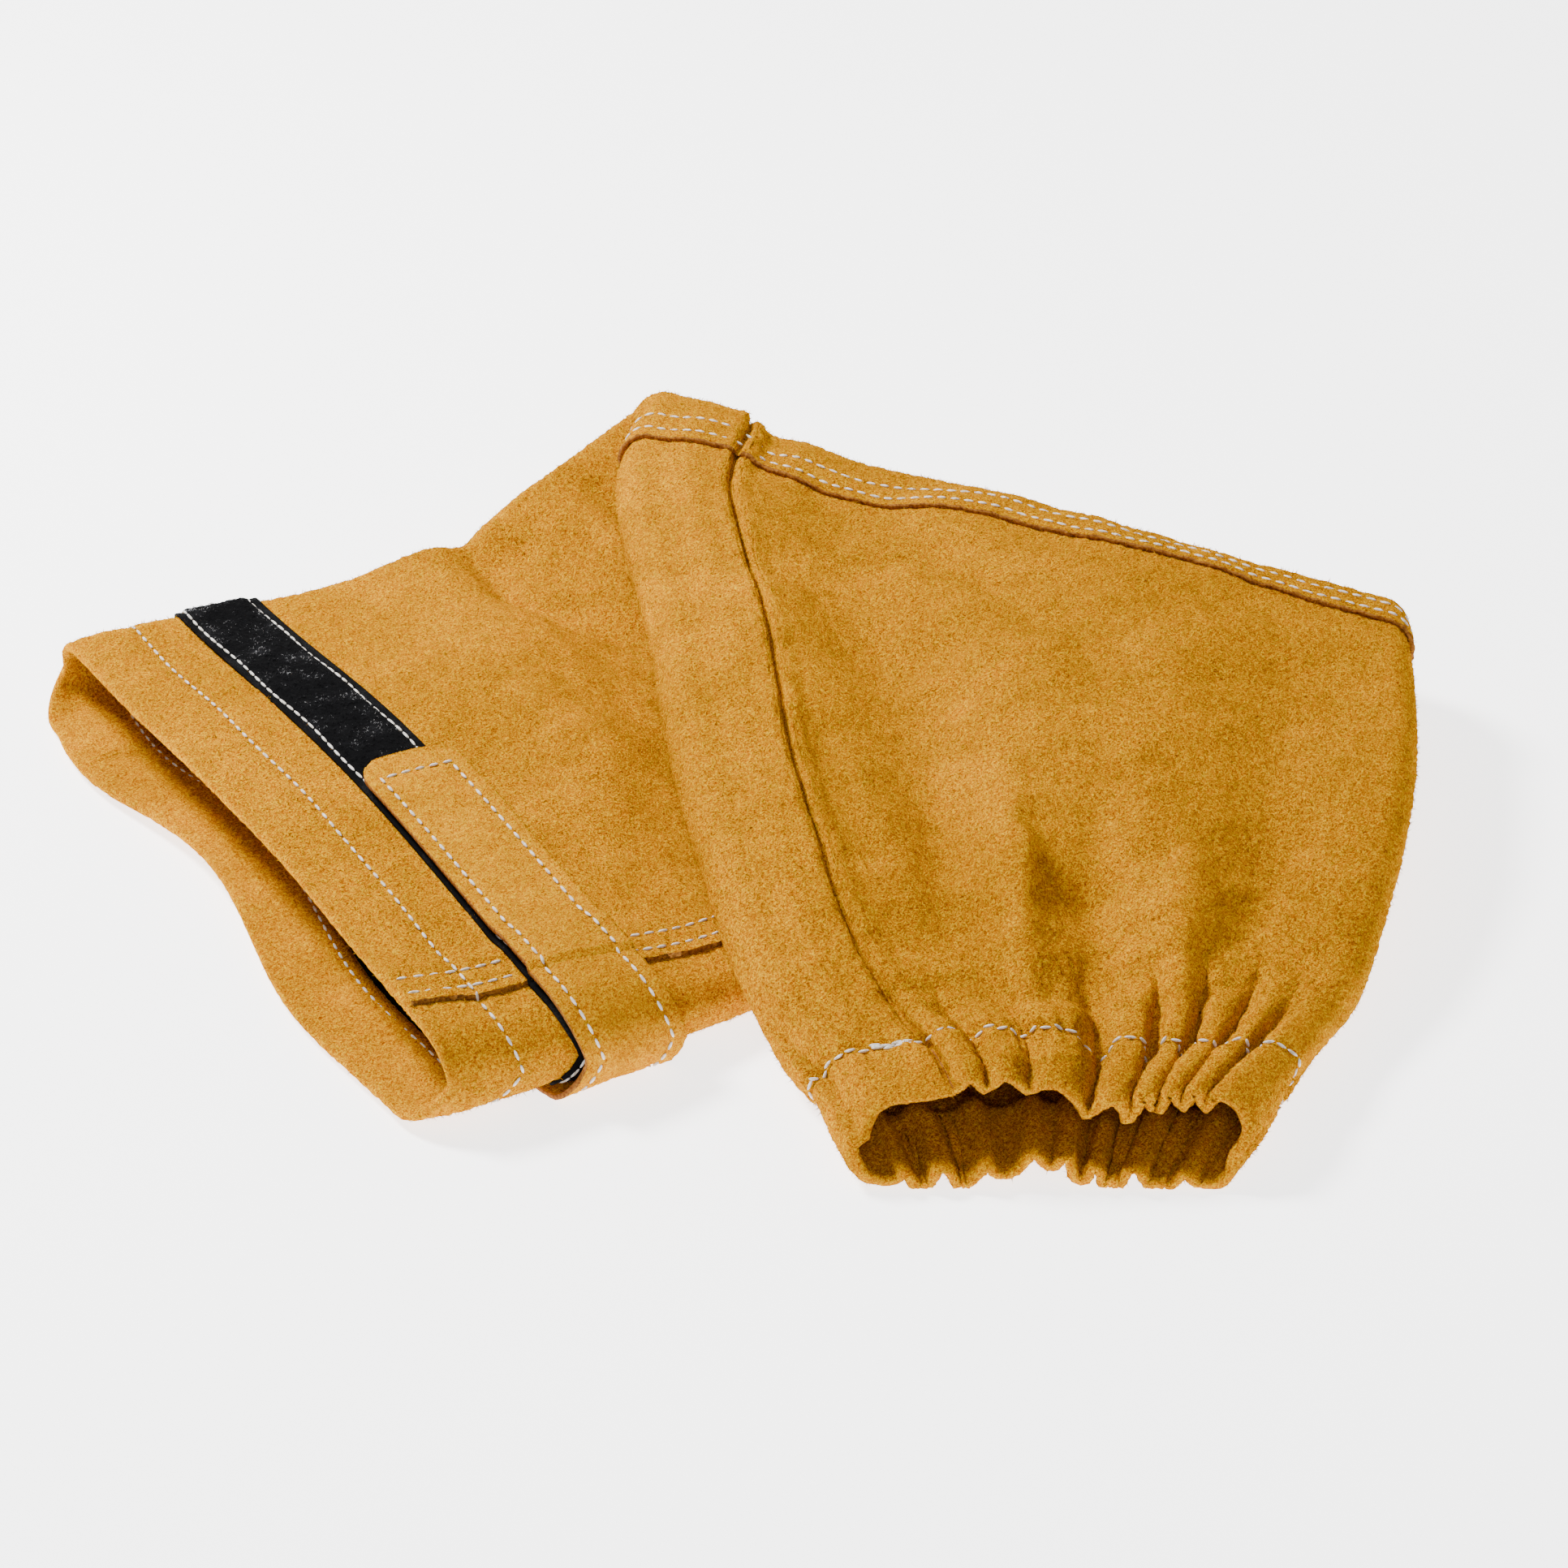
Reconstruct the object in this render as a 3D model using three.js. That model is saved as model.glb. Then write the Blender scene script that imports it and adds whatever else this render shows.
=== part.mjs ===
// Welding sleeve of split suede, folded once across its middle and lying on its upper-arm side.
// Units are millimetres, +Z is up and the sleeve rests on the plane Z = 0.
import * as THREE from 'three';

// Driving dimensions of the folded sleeve
const UPPER_LENGTH = 260;
const FOREARM_LENGTH = 270;
const CUFF_WIDTH = 236;
const FOREARM_WIDTH = 220;
const WRIST_WIDTH = 108;
const FOLD_HEIGHT = 46;
const UPPER_HEADING = 0;
const FOREARM_HEADING = -122;

// Leather, hems and seams
const LEATHER = 1.4;
const CLEARANCE = 0.35;
const CUFF_HEM = 21;
const SEAM_LAP = 14;
const SEAM_FROM_FOLD = 33;
const LAP_RAMP = 7;
const CASING = 26;
const GATHERS = 18;
const GATHER_DEPTH = 3.1;
const GATHER_REACH = 2.2 * CASING;
const GATHER_REACH_CHANGE = 0.7 * CASING;

// Hook-and-loop closing
const TAPE_SETBACK = 35;
const TAPE_WIDTH = 26;
const TAPE_THICKNESS = 1.6;
const HOOK_INSET = 3;
const HOOK_THICKNESS = 1.2;
const STRAP_OVERHANG = 2;
const STRAP_SHIFT = 2;
const STRAP_REACH = 106;
const STRAP_UNDER = 46;
const STRAP_CORNER = 9;
const BAND_THICKNESS = 1;
const TAPE_END = TAPE_SETBACK + TAPE_WIDTH;
const STRAP_START = TAPE_SETBACK - STRAP_OVERHANG + STRAP_SHIFT;
const STRAP_END = TAPE_END + STRAP_OVERHANG + STRAP_SHIFT;

// How gently the underside rises over what lies beneath it
const REST_RAMP = 14;

// Where the seams run, as shares of the flat layer that they lie in, counted from the far edge
const LAP_SEAM = 0.965;
const LAP_SEAM_WIDTH = 13;
const FLAT_RUN = 0.17;
const FLAT_RAMP = 0.03;
const DENT_EDGE = 0.06;

// Columns round the sleeve: each round edge, each flat layer, and the finer split at the gathers
const EDGE_STEPS = 4;
const LAYER_STEPS = 16;
const GATHER_SPLIT = 3;
const EDGE_SHARE = 0.06;
const EDGE_COLUMN = 0.004;
const STEP = 0.4;
const ROW_GAP = 12;
const NORMAL_STEP = 0.6;
const NORMAL_SHARE = 0.0016;

// Each row of a table below holds one value for each of its named columns
function readTable(names, rows) {
  return rows.map((row) => Object.fromEntries(names.map((name, i) => [name, row[i]])));
}

// One section of the sleeve. Along and across place its far and near edges, and high, round, crown and
// lean are shares of FOLD_HEIGHT. Turn is the angle of the section round the fold, in degrees.
const sectionColumns = [
  'farAlong', 'farAcross', 'farHigh', 'nearAlong', 'nearAcross', 'nearHigh', 'turn',
  'farRound', 'nearRound', 'crownIn', 'crownOut', 'leanIn', 'leanOut', 'slide',
];

// Upper arm: along is a share of UPPER_LENGTH from the cuff, across of CUFF_WIDTH from its middle
const upperSections = readTable(sectionColumns, [
  [0.000, -0.443, 0.31, 0.010, 0.436, 0.33, 0, 0.26, 0.27, 0.09, 0.04, -0.02, 0.22, 0],
  [0.085, -0.446, 0.30, 0.085, 0.455, 0.32, 0, 0.24, 0.25, 0.13, 0.04, -0.06, 0.20, 0],
  [0.190, -0.452, 0.26, 0.190, 0.462, 0.31, 0, 0.20, 0.22, 0.15, 0.03, -0.10, 0.13, 0],
  [0.340, -0.456, 0.21, 0.340, 0.470, 0.21, 0, 0.16, 0.16, 0.15, 0.07, -0.07, 0.05, 0],
  [0.490, -0.458, 0.25, 0.560, 0.448, 0.17, 0, 0.14, 0.13, 0.01, 0.09, -0.02, 0.01, 0],
  [0.590, -0.470, 0.46, 0.820, 0.405, 0.16, 0, 0.13, 0.12, -0.09, 0.16, 0, 0, 0],
  [0.690, -0.485, 0.63, 1.050, 0.370, 0.18, 8, 0.12, 0.12, -0.23, 0.14, 0, 0, 0],
  [0.760, -0.500, 0.75, 1.200, 0.350, 0.24, 40, 0.11, 0.11, -0.06, 0.02, 0, 0, 0],
  [0.780, -0.506, 0.83, 1.240, 0.350, 0.42, 90, 0.11, 0.11, 0.00, 0.00, 0, 0, 0],
]);

// Forearm: along is a share of FOREARM_LENGTH from the fold's middle, across of FOREARM_WIDTH from the
// line through that middle
const forearmSections = readTable(sectionColumns, [
  [-0.140, -0.470, 0.89, 0.225, 0.475, 0.68, 145, 0.13, 0.13, -0.04, 0.00, 0, 0, 0],
  [0.015, -0.490, 0.84, 0.320, 0.470, 0.70, 176, 0.19, 0.16, -0.04, 0.10, 0, 0, 0],
  [0.280, -0.432, 0.76, 0.450, 0.455, 0.64, 180, 0.21, 0.17, 0.00, 0.14, 0, 0, 0],
  [0.470, -0.400, 0.73, 0.580, 0.423, 0.55, 180, 0.21, 0.17, 0.00, 0.14, 0, 0, 0],
  [0.650, -0.362, 0.69, 0.695, 0.382, 0.42, 180, 0.20, 0.17, 0.02, 0.12, 0, 0, 0.04],
  [0.785, -0.318, 0.51, 0.780, 0.341, 0.28, 180, 0.19, 0.17, 0.03, 0.10, 0, 0, 0.12],
]);

// Gathered wrist: across is a share of WRIST_WIDTH
const wristSections = readTable(sectionColumns, [
  [0.865, -0.525, 0.32, 0.850, 0.580, 0.25, 180, 0.19, 0.18, 0.04, 0.10, 0.00, 0.00, 0.20],
  [0.925, -0.415, 0.27, 0.920, 0.475, 0.25, 180, 0.19, 0.19, 0.04, 0.10, 0.04, 0.04, 0.24],
  [1.000, -0.350, 0.28, 1.000, 0.370, 0.26, 180, 0.20, 0.20, 0.03, 0.08, 0.06, 0.16, 0.25],
]);

// Dents and swells of the flat layers. Along is a share of the whole sleeve from the cuff, across a
// share of the layer from the far edge, and the spans are their reach. Height, out of the sleeve, and
// push, towards the wrist, are shares of FOLD_HEIGHT.
const dentColumns = ['layer', 'along', 'across', 'alongSpan', 'acrossSpan', 'height', 'push'];
const dents = readTable(dentColumns, [
  ['out', 0.000, 0.42, 0.07, 0.20, -0.12, 0.14],
  ['out', 0.000, 0.14, 0.07, 0.12, 0, -0.07],
  ['out', 0.000, 0.76, 0.07, 0.15, 0, -0.07],
  ['in', 0.000, 0.62, 0.06, 0.20, -0.05, 0.05],
  ['in', 0.285, 0.10, 0.03, 0.22, -0.12, 0],
  ['in', 0.180, 0.40, 0.08, 0.22, 0.07, 0],
  ['in', 0.335, 0.20, 0.02, 0.15, 0.05, 0],
  ['in', 0.375, 0.14, 0.022, 0.13, -0.09, 0],
  ['out', 0.515, 0.16, 0.035, 0.035, -0.10, 0],
  ['out', 0.620, 0.26, 0.12, 0.08, -0.14, 0],
  ['out', 0.730, 0.34, 0.17, 0.09, -0.20, 0],
  ['out', 0.700, 0.08, 0.20, 0.09, 0.08, 0],
  ['out', 0.690, 0.66, 0.14, 0.16, 0.07, 0],
  ['out', 0.780, 0.84, 0.10, 0.09, -0.10, 0],
  ['out', 0.600, 0.58, 0.06, 0.12, -0.06, 0],
  ['out', 0.860, 0.44, 0.07, 0.045, 0.14, 0],
  ['out', 0.850, 0.58, 0.08, 0.05, -0.12, 0],
  ['out', 0.860, 0.72, 0.06, 0.05, 0.11, 0],
  ['out', 1.000, 0.32, 0.06, 0.12, 0.09, 0],
  ['out', 1.000, 0.68, 0.06, 0.14, -0.12, 0.06],
  ['in', 1.000, 0.47, 0.06, 0.16, -0.12, -0.05],
]);

// Two plan frames: the upper arm starts at the middle of the cuff, the forearm at the middle of the fold
function planFrame(origin, headingDegrees) {
  const heading = THREE.MathUtils.degToRad(headingDegrees);
  const along = new THREE.Vector2(Math.cos(heading), Math.sin(heading));
  const across = new THREE.Vector2(Math.sin(heading), -Math.cos(heading));
  return { origin, along, across };
}

function planPoint(frame, along, across, high) {
  const x = frame.origin.x + frame.along.x * along + frame.across.x * across;
  const y = frame.origin.y + frame.along.y * along + frame.across.y * across;
  return new THREE.Vector3(x, y, high);
}

const cuffFrame = planFrame(new THREE.Vector2(0, 0), UPPER_HEADING);
const lastUpper = upperSections[upperSections.length - 1];
const foldMiddle = planPoint(
  cuffFrame,
  UPPER_LENGTH * (lastUpper.farAlong + lastUpper.nearAlong) / 2,
  CUFF_WIDTH * (lastUpper.farAcross + lastUpper.nearAcross) / 2,
  0,
);
const foldFrame = planFrame(new THREE.Vector2(foldMiddle.x, foldMiddle.y), FOREARM_HEADING);

function placeSection(row, frame, length, width, side) {
  return {
    far: planPoint(frame, row.farAlong * length, side * row.farAcross * width, row.farHigh * FOLD_HEIGHT),
    near: planPoint(frame, row.nearAlong * length, side * row.nearAcross * width, row.nearHigh * FOLD_HEIGHT),
    turn: THREE.MathUtils.degToRad(row.turn),
    farRound: row.farRound * FOLD_HEIGHT,
    nearRound: row.nearRound * FOLD_HEIGHT,
    crownIn: row.crownIn * FOLD_HEIGHT,
    crownOut: row.crownOut * FOLD_HEIGHT,
    leanIn: row.leanIn * FOLD_HEIGHT,
    leanOut: row.leanOut * FOLD_HEIGHT,
    slide: row.slide,
  };
}

// The forearm runs back over the upper arm, so its far and near edges change sides in its own frame
const sections = [
  ...upperSections.map((row) => placeSection(row, cuffFrame, UPPER_LENGTH, CUFF_WIDTH, 1)),
  ...forearmSections.map((row) => placeSection(row, foldFrame, FOREARM_LENGTH, FOREARM_WIDTH, -1)),
  ...wristSections.map((row) => placeSection(row, foldFrame, FOREARM_LENGTH, WRIST_WIDTH, -1)),
];

// Distance of each section from the cuff, measured along the middle of the sleeve
const stations = [0];
for (let i = 1; i < sections.length; i += 1) {
  const here = sections[i].far.clone().add(sections[i].near);
  const before = sections[i - 1].far.clone().add(sections[i - 1].near);
  stations.push(stations[i - 1] + here.distanceTo(before) / 2);
}
const SLEEVE_END = stations[stations.length - 1];
const FOLD_STATION = stations[upperSections.length - 1];
const SEAM_STATION = FOLD_STATION + SEAM_FROM_FOLD;

// Smooth curve through one column of the section table
function smooth(read, v) {
  let i = 0;
  while (i < stations.length - 2 && v > stations[i + 1]) i += 1;
  const slopeAt = (k) => {
    const a = Math.max(k - 1, 0);
    const b = Math.min(k + 1, stations.length - 1);
    return (read(sections[b]) - read(sections[a])) / (stations[b] - stations[a]);
  };
  const span = stations[i + 1] - stations[i];
  const s = THREE.MathUtils.clamp((v - stations[i]) / span, 0, 1);
  const from = read(sections[i]);
  const to = read(sections[i + 1]);
  const rise = 2 * s ** 3 - 3 * s ** 2 + 1;
  const fall = -2 * s ** 3 + 3 * s ** 2;
  return rise * from + fall * to
    + span * ((s ** 3 - 2 * s ** 2 + s) * slopeAt(i) + (s ** 3 - s ** 2) * slopeAt(i + 1));
}

function sectionAt(v) {
  const point = (edge) => new THREE.Vector3(
    smooth((row) => row[edge].x, v),
    smooth((row) => row[edge].y, v),
    smooth((row) => row[edge].z, v),
  );
  const far = point('far');
  const near = point('near');
  const chord = near.clone().sub(far).normalize();
  const up = new THREE.Vector3(0, 0, 1).addScaledVector(chord, -chord.z).normalize();
  const forward = up.clone().cross(chord);
  const turn = smooth((row) => row.turn, v);
  return {
    far,
    near,
    chord,
    inward: up.clone().multiplyScalar(Math.cos(turn)).addScaledVector(forward, -Math.sin(turn)),
    travel: forward.clone().multiplyScalar(Math.cos(turn)).addScaledVector(up, Math.sin(turn)),
    farRound: smooth((row) => row.farRound, v),
    nearRound: smooth((row) => row.nearRound, v),
    crownIn: smooth((row) => row.crownIn, v),
    crownOut: smooth((row) => row.crownOut, v),
    leanIn: smooth((row) => row.leanIn, v),
    leanOut: smooth((row) => row.leanOut, v),
    slide: smooth((row) => row.slide, v),
  };
}

// How far the dents move a point out of its layer and along the sleeve; they end at the round edges
function dentMove(layer, v, across) {
  const start = THREE.MathUtils.smoothstep(across, 0, DENT_EDGE);
  const end = THREE.MathUtils.smoothstep(across, 1 - DENT_EDGE, 1);
  const move = { height: 0, push: 0 };
  for (const dent of dents) {
    if (dent.layer !== layer) continue;
    const a = (v / SLEEVE_END - dent.along) / dent.alongSpan;
    const b = (across - dent.across) / dent.acrossSpan;
    const strength = start * (1 - end) * FOLD_HEIGHT * Math.exp(-(a * a + b * b));
    move.height += dent.height * strength;
    move.push += dent.push * strength;
  }
  return move;
}

// Gathers of the elastic wrist: uneven ruffles that fade out up the forearm and are held flat beside
// the long seam, where the casing is sewn down
function gatherHeight(v, p) {
  const wave = (turns, phase) => Math.sin(2 * Math.PI * (turns * p + phase));
  const reach = GATHER_REACH + GATHER_REACH_CHANGE * wave(7, 0.1) * wave(4, 0);
  const fade = THREE.MathUtils.smoothstep(v, SLEEVE_END - reach, SLEEVE_END - CASING);
  const flatStart = outLayerShare(FLAT_RUN);
  const held = THREE.MathUtils.smoothstep(p, flatStart, flatStart + FLAT_RAMP);
  const wander = 0.45 * wave(3, 0.2) + 0.3 * wave(5, 0.6);
  const ruffle = Math.sin(2 * Math.PI * GATHERS * p + 2.2 * wander);
  return GATHER_DEPTH * fade * (1 - held) * (0.9 + wander * 0.5) * ruffle;
}

// Lowest height of the middle surface: the leather lies flat, and over the tape and the strap's sewn end
// it stands off by their thickness
function restLevel(v, p) {
  const from = TAPE_SETBACK - STRAP_OVERHANG;
  const to = STRAP_END;
  const rampUp = THREE.MathUtils.smoothstep(v, from - REST_RAMP, from);
  const rampDown = THREE.MathUtils.smoothstep(v, to, to + REST_RAMP);
  const overTape = rampUp * (1 - rampDown);
  const pastNear = (p - 0.5 - EDGE_SHARE / 2) * 2 * CUFF_WIDTH;
  const overStrap = 1 - THREE.MathUtils.smoothstep(pastNear, STRAP_UNDER, STRAP_UNDER + REST_RAMP);
  const strapStack = 2 * CLEARANCE + HOOK_THICKNESS + LEATHER;
  return LEATHER / 2 + overTape * (CLEARANCE + TAPE_THICKNESS + overStrap * strapStack);
}

// Point of the sleeve's middle surface: v is the distance from the cuff, p the share of the way round,
// from the middle of the far edge over the inner layer to the near edge and back by the outer layer
function middlePoint(v, p) {
  const s = sectionAt(v);
  const half = EDGE_SHARE / 2;
  const layerShare = 0.5 - EDGE_SHARE;
  const q = ((p % 1) + 1) % 1;
  const point = new THREE.Vector3();
  let out = new THREE.Vector3();
  let side = 0;
  if (q < half || q > 1 - half) {
    const angle = (q < half ? q : q - 1) / half * Math.PI / 2;
    out = s.chord.clone().multiplyScalar(-Math.cos(angle)).addScaledVector(s.inward, Math.sin(angle));
    point.copy(s.far).addScaledVector(out, s.farRound);
    side = Math.sin(angle);
  } else if (q < half + layerShare) {
    const across = (q - half) / layerShare;
    const bulge = Math.sin(Math.PI * across) ** 1.5;
    const dent = dentMove('in', v, across);
    const rise = THREE.MathUtils.lerp(s.farRound, s.nearRound, across) + s.crownIn * bulge + dent.height;
    out = s.inward.clone();
    point.lerpVectors(s.far, s.near, across).addScaledVector(out, rise).addScaledVector(s.travel, dent.push);
    side = 1;
  } else if (q < half + layerShare + EDGE_SHARE) {
    const angle = (0.5 - q) / half * Math.PI / 2;
    out = s.chord.clone().multiplyScalar(Math.cos(angle)).addScaledVector(s.inward, Math.sin(angle));
    point.copy(s.near).addScaledVector(out, s.nearRound);
    side = Math.sin(angle);
  } else {
    const flat = (1 - half - q) / layerShare;
    const across = flat + s.slide * flat * (1 - flat) * 2;
    const bulge = Math.sin(Math.PI * across) ** 1.5;
    const dent = dentMove('out', v, across);
    const rise = THREE.MathUtils.lerp(s.farRound, s.nearRound, across) + s.crownOut * bulge + dent.height;
    out = s.inward.clone().negate();
    point.lerpVectors(s.far, s.near, across).addScaledVector(out, rise).addScaledVector(s.travel, dent.push);
    side = -1;
  }
  point.addScaledVector(out, gatherHeight(v, q));
  point.addScaledVector(s.travel, side > 0 ? s.leanIn * side : s.leanOut * side);
  point.z = Math.max(point.z, restLevel(v, q));
  return point;
}

function outwardNormal(v, p) {
  const low = Math.max(v - NORMAL_STEP, 0);
  const high = Math.min(v + NORMAL_STEP, SLEEVE_END);
  const alongway = middlePoint(high, p).sub(middlePoint(low, p));
  const round = middlePoint(v, p + NORMAL_SHARE).sub(middlePoint(v, p - NORMAL_SHARE));
  return round.cross(alongway).normalize();
}

function surfacePoint(v, p, offset) {
  return middlePoint(v, p).addScaledVector(outwardNormal(v, p), offset);
}

// Shares of the way round, with a finer split where the gathers need it
const layerShare = 0.5 - EDGE_SHARE;
const columns = [];
for (let i = 0; i < EDGE_STEPS; i += 1) columns.push(-EDGE_SHARE / 2 + EDGE_SHARE * i / EDGE_STEPS);
for (let i = 0; i < LAYER_STEPS; i += 1) columns.push(EDGE_SHARE / 2 + layerShare * i / LAYER_STEPS);
for (let i = 0; i < EDGE_STEPS; i += 1) columns.push(0.5 - EDGE_SHARE / 2 + EDGE_SHARE * i / EDGE_STEPS);
for (let i = 0; i < LAYER_STEPS; i += 1) columns.push(0.5 + EDGE_SHARE / 2 + layerShare * i / LAYER_STEPS);

function splitColumns(list, parts) {
  return list.flatMap((p, i) => {
    const next = i + 1 < list.length ? list[i + 1] : list[0] + 1;
    return Array.from({ length: parts }, (_, k) => p + (next - p) * k / parts);
  });
}
const fineColumns = splitColumns(columns, GATHER_SPLIT);

function inLayerShare(across) {
  return EDGE_SHARE / 2 + layerShare * across;
}

function outLayerShare(across) {
  return 1 - EDGE_SHARE / 2 - layerShare * across;
}

// Flat width of the layer at a station, for sizes that run round the sleeve
function layerWidth(v) {
  const s = sectionAt(v);
  return s.far.distanceTo(s.near);
}

// How far the outer face of the upper arm stands off for the lapped seam along it
function lapLift(v, p) {
  if (v > FOLD_STATION) return 0;
  const across = (p - EDGE_SHARE / 2) / layerShare;
  const beyond = (LAP_SEAM - across) * layerWidth(v);
  if (beyond < 0 || beyond > LAP_SEAM_WIDTH + LAP_RAMP) return 0;
  if (beyond < LAP_SEAM_WIDTH) return LEATHER;
  return LEATHER * (1 - (beyond - LAP_SEAM_WIDTH) / LAP_RAMP);
}

// Closed shell between two offsets of the middle surface, open at both ends of the sleeve
function tubeShell(rows, outerOffset, innerOffset) {
  const positions = [];
  const skins = [outerOffset, innerOffset].map((offset) => rows.map((row) => {
    return row.columns.map((p) => {
      const point = surfacePoint(row.v, p, offset(row.v, p, row));
      positions.push(point.x, point.y, point.z);
      return positions.length / 3 - 1;
    });
  }));
  const triangles = [];
  const face = (a, b, c, flip) => (flip ? triangles.push(a, c, b) : triangles.push(a, b, c));
  const joinRows = (low, high, flip) => {
    const ratio = high.length / low.length;
    if (ratio === 1) {
      low.forEach((a, i) => {
        const j = (i + 1) % low.length;
        face(a, low[j], high[j], flip);
        face(a, high[j], high[i], flip);
      });
      return;
    }
    low.forEach((a, i) => {
      const j = (i + 1) % low.length;
      for (let k = 0; k < ratio; k += 1) {
        const m = i * ratio + k;
        face(a, high[(m + 1) % high.length], high[m], flip);
      }
      face(a, low[j], high[(i + 1) * ratio % high.length], flip);
    });
  };
  skins.forEach((skin, which) => {
    for (let i = 0; i + 1 < skin.length; i += 1) joinRows(skin[i], skin[i + 1], which === 1);
  });
  joinRows(skins[0][0], skins[1][0], true);
  joinRows(skins[0][rows.length - 1], skins[1][rows.length - 1], false);
  return buildGeometry(positions, triangles);
}

// Closed patch on the sleeve, given by the place of each grid point and its two offsets
function patchSolid(rowCount, columnCount, place, outerOffset, innerOffset, wraps) {
  const positions = [];
  const skins = [outerOffset, innerOffset].map((offset) => {
    return Array.from({ length: rowCount }, (_, r) => Array.from({ length: columnCount }, (__, c) => {
      const { v, p } = place(r, c);
      const point = surfacePoint(v, p, offset(v, p));
      positions.push(point.x, point.y, point.z);
      return positions.length / 3 - 1;
    }));
  });
  const triangles = [];
  const quad = (a, b, c, d) => triangles.push(a, b, c, a, c, d);
  const lastColumn = wraps ? columnCount : columnCount - 1;
  const [outer, inner] = skins;
  for (let r = 0; r + 1 < rowCount; r += 1) {
    for (let c = 0; c < lastColumn; c += 1) {
      const d = (c + 1) % columnCount;
      quad(outer[r][c], outer[r][d], outer[r + 1][d], outer[r + 1][c]);
      quad(inner[r][c], inner[r + 1][c], inner[r + 1][d], inner[r][d]);
    }
  }
  const top = rowCount - 1;
  for (let c = 0; c < lastColumn; c += 1) {
    const d = (c + 1) % columnCount;
    quad(outer[0][c], inner[0][c], inner[0][d], outer[0][d]);
    quad(outer[top][c], outer[top][d], inner[top][d], inner[top][c]);
  }
  if (!wraps) {
    const end = columnCount - 1;
    for (let r = 0; r < top; r += 1) {
      quad(outer[r][0], outer[r + 1][0], inner[r + 1][0], inner[r][0]);
      quad(outer[r][end], inner[r][end], inner[r + 1][end], outer[r + 1][end]);
    }
  }
  return buildGeometry(positions, triangles);
}

function buildGeometry(positions, triangles) {
  const geometry = new THREE.BufferGeometry();
  geometry.setAttribute('position', new THREE.Float32BufferAttribute(positions, 3));
  geometry.setIndex(triangles);
  geometry.computeVertexNormals();
  return geometry;
}

const suede = new THREE.MeshStandardMaterial({ color: '#d99f3c', roughness: 0.95, metalness: 0 });
const strapSuede = new THREE.MeshStandardMaterial({ color: '#dcaa55', roughness: 0.95, metalness: 0 });
const blackTape = new THREE.MeshStandardMaterial({ color: '#1c1c1e', roughness: 0.9, metalness: 0 });

const sleeve = new THREE.Group();

function addPiece(name, geometry, material) {
  const piece = new THREE.Mesh(geometry, material);
  piece.name = name;
  sleeve.add(piece);
}

// Upper arm: hem turned in at the cuff, lapped seam along the near side, end lying over the forearm
const hemInner = -LEATHER / 2 - LEATHER;
const lapStart = SEAM_STATION - SEAM_LAP;
const lapFull = lapStart - 1;
const liftAt = (v) => THREE.MathUtils.smoothstep(v, lapStart - LAP_RAMP, lapFull);
const seamLift = (v) => (LEATHER + CLEARANCE) * liftAt(v);

const lapEdges = [LAP_SEAM, LAP_SEAM + EDGE_COLUMN];
function upperColumns() {
  const edge = lapEdges.map(inLayerShare);
  return [...columns, ...edge].sort((a, b) => a - b);
}

function evenly(from, to, count) {
  return Array.from({ length: count + 1 }, (_, i) => from + (to - from) * i / count);
}

const upperRows = [
  0, CUFF_HEM / 2, CUFF_HEM, CUFF_HEM + STEP, TAPE_SETBACK, TAPE_SETBACK + TAPE_WIDTH / 2,
  ...evenly(TAPE_END, FOLD_STATION - 2 * ROW_GAP, 9),
  ...evenly(FOLD_STATION - ROW_GAP, lapStart - LAP_RAMP, 3),
  lapFull,
  SEAM_STATION - SEAM_LAP / 2,
  SEAM_STATION,
].map((v) => ({ v, columns: upperColumns() }));

addPiece(
  'upper_arm_panel',
  tubeShell(
    upperRows,
    (v, p) => LEATHER / 2 + lapLift(v, p) + seamLift(v),
    (v) => (v <= CUFF_HEM ? hemInner : -LEATHER / 2 + seamLift(v)),
  ),
  suede,
);

// Forearm: its top end tucked under the upper arm, its wrist turned in over an elastic and gathered
const gatherStart = SLEEVE_END - GATHER_REACH - GATHER_REACH_CHANGE;
const casingInner = (v) => -LEATHER / 2 - (v >= SLEEVE_END - CASING ? LEATHER : 0);
const forearmRows = [
  ...evenly(lapStart, SEAM_STATION, 1),
  ...evenly(SEAM_STATION + ROW_GAP, gatherStart, 9),
].map((v) => ({ v, columns }));
const gatherRows = [
  ...evenly(gatherStart + ROW_GAP, SLEEVE_END - CASING - STEP, 3),
  ...evenly(SLEEVE_END - CASING, SLEEVE_END, 3),
].map((v) => ({ v, columns: fineColumns }));

addPiece(
  'forearm_panel',
  tubeShell([...forearmRows, ...gatherRows], () => LEATHER / 2, casingInner),
  suede,
);

// Loop tape round the outside of the cuff
const tapeInner = (v, p) => LEATHER / 2 + CLEARANCE + lapLift(v, p);
const tapeOuter = (v, p) => tapeInner(v, p) + TAPE_THICKNESS;
const tapeColumns = upperColumns();
addPiece(
  'loop_tape',
  patchSolid(
    3,
    tapeColumns.length,
    (r, c) => ({ v: TAPE_SETBACK + TAPE_WIDTH * r / 2, p: tapeColumns[c] }),
    tapeOuter,
    tapeInner,
    true,
  ),
  blackTape,
);

// Strap over the near edge, hooked to the loop tape, with its free end on top
const strapMiddle = (STRAP_START + STRAP_END) / 2;
const widthAtTape = layerWidth(strapMiddle);
const freeEnd = inLayerShare(1 - STRAP_REACH / widthAtTape);
const sewnEnd = outLayerShare(1 - STRAP_UNDER / widthAtTape);

function columnsBetween(from, to) {
  const inside = tapeColumns.filter((p) => p > from + EDGE_COLUMN && p < to - EDGE_COLUMN);
  return [from, ...inside, to];
}

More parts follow.
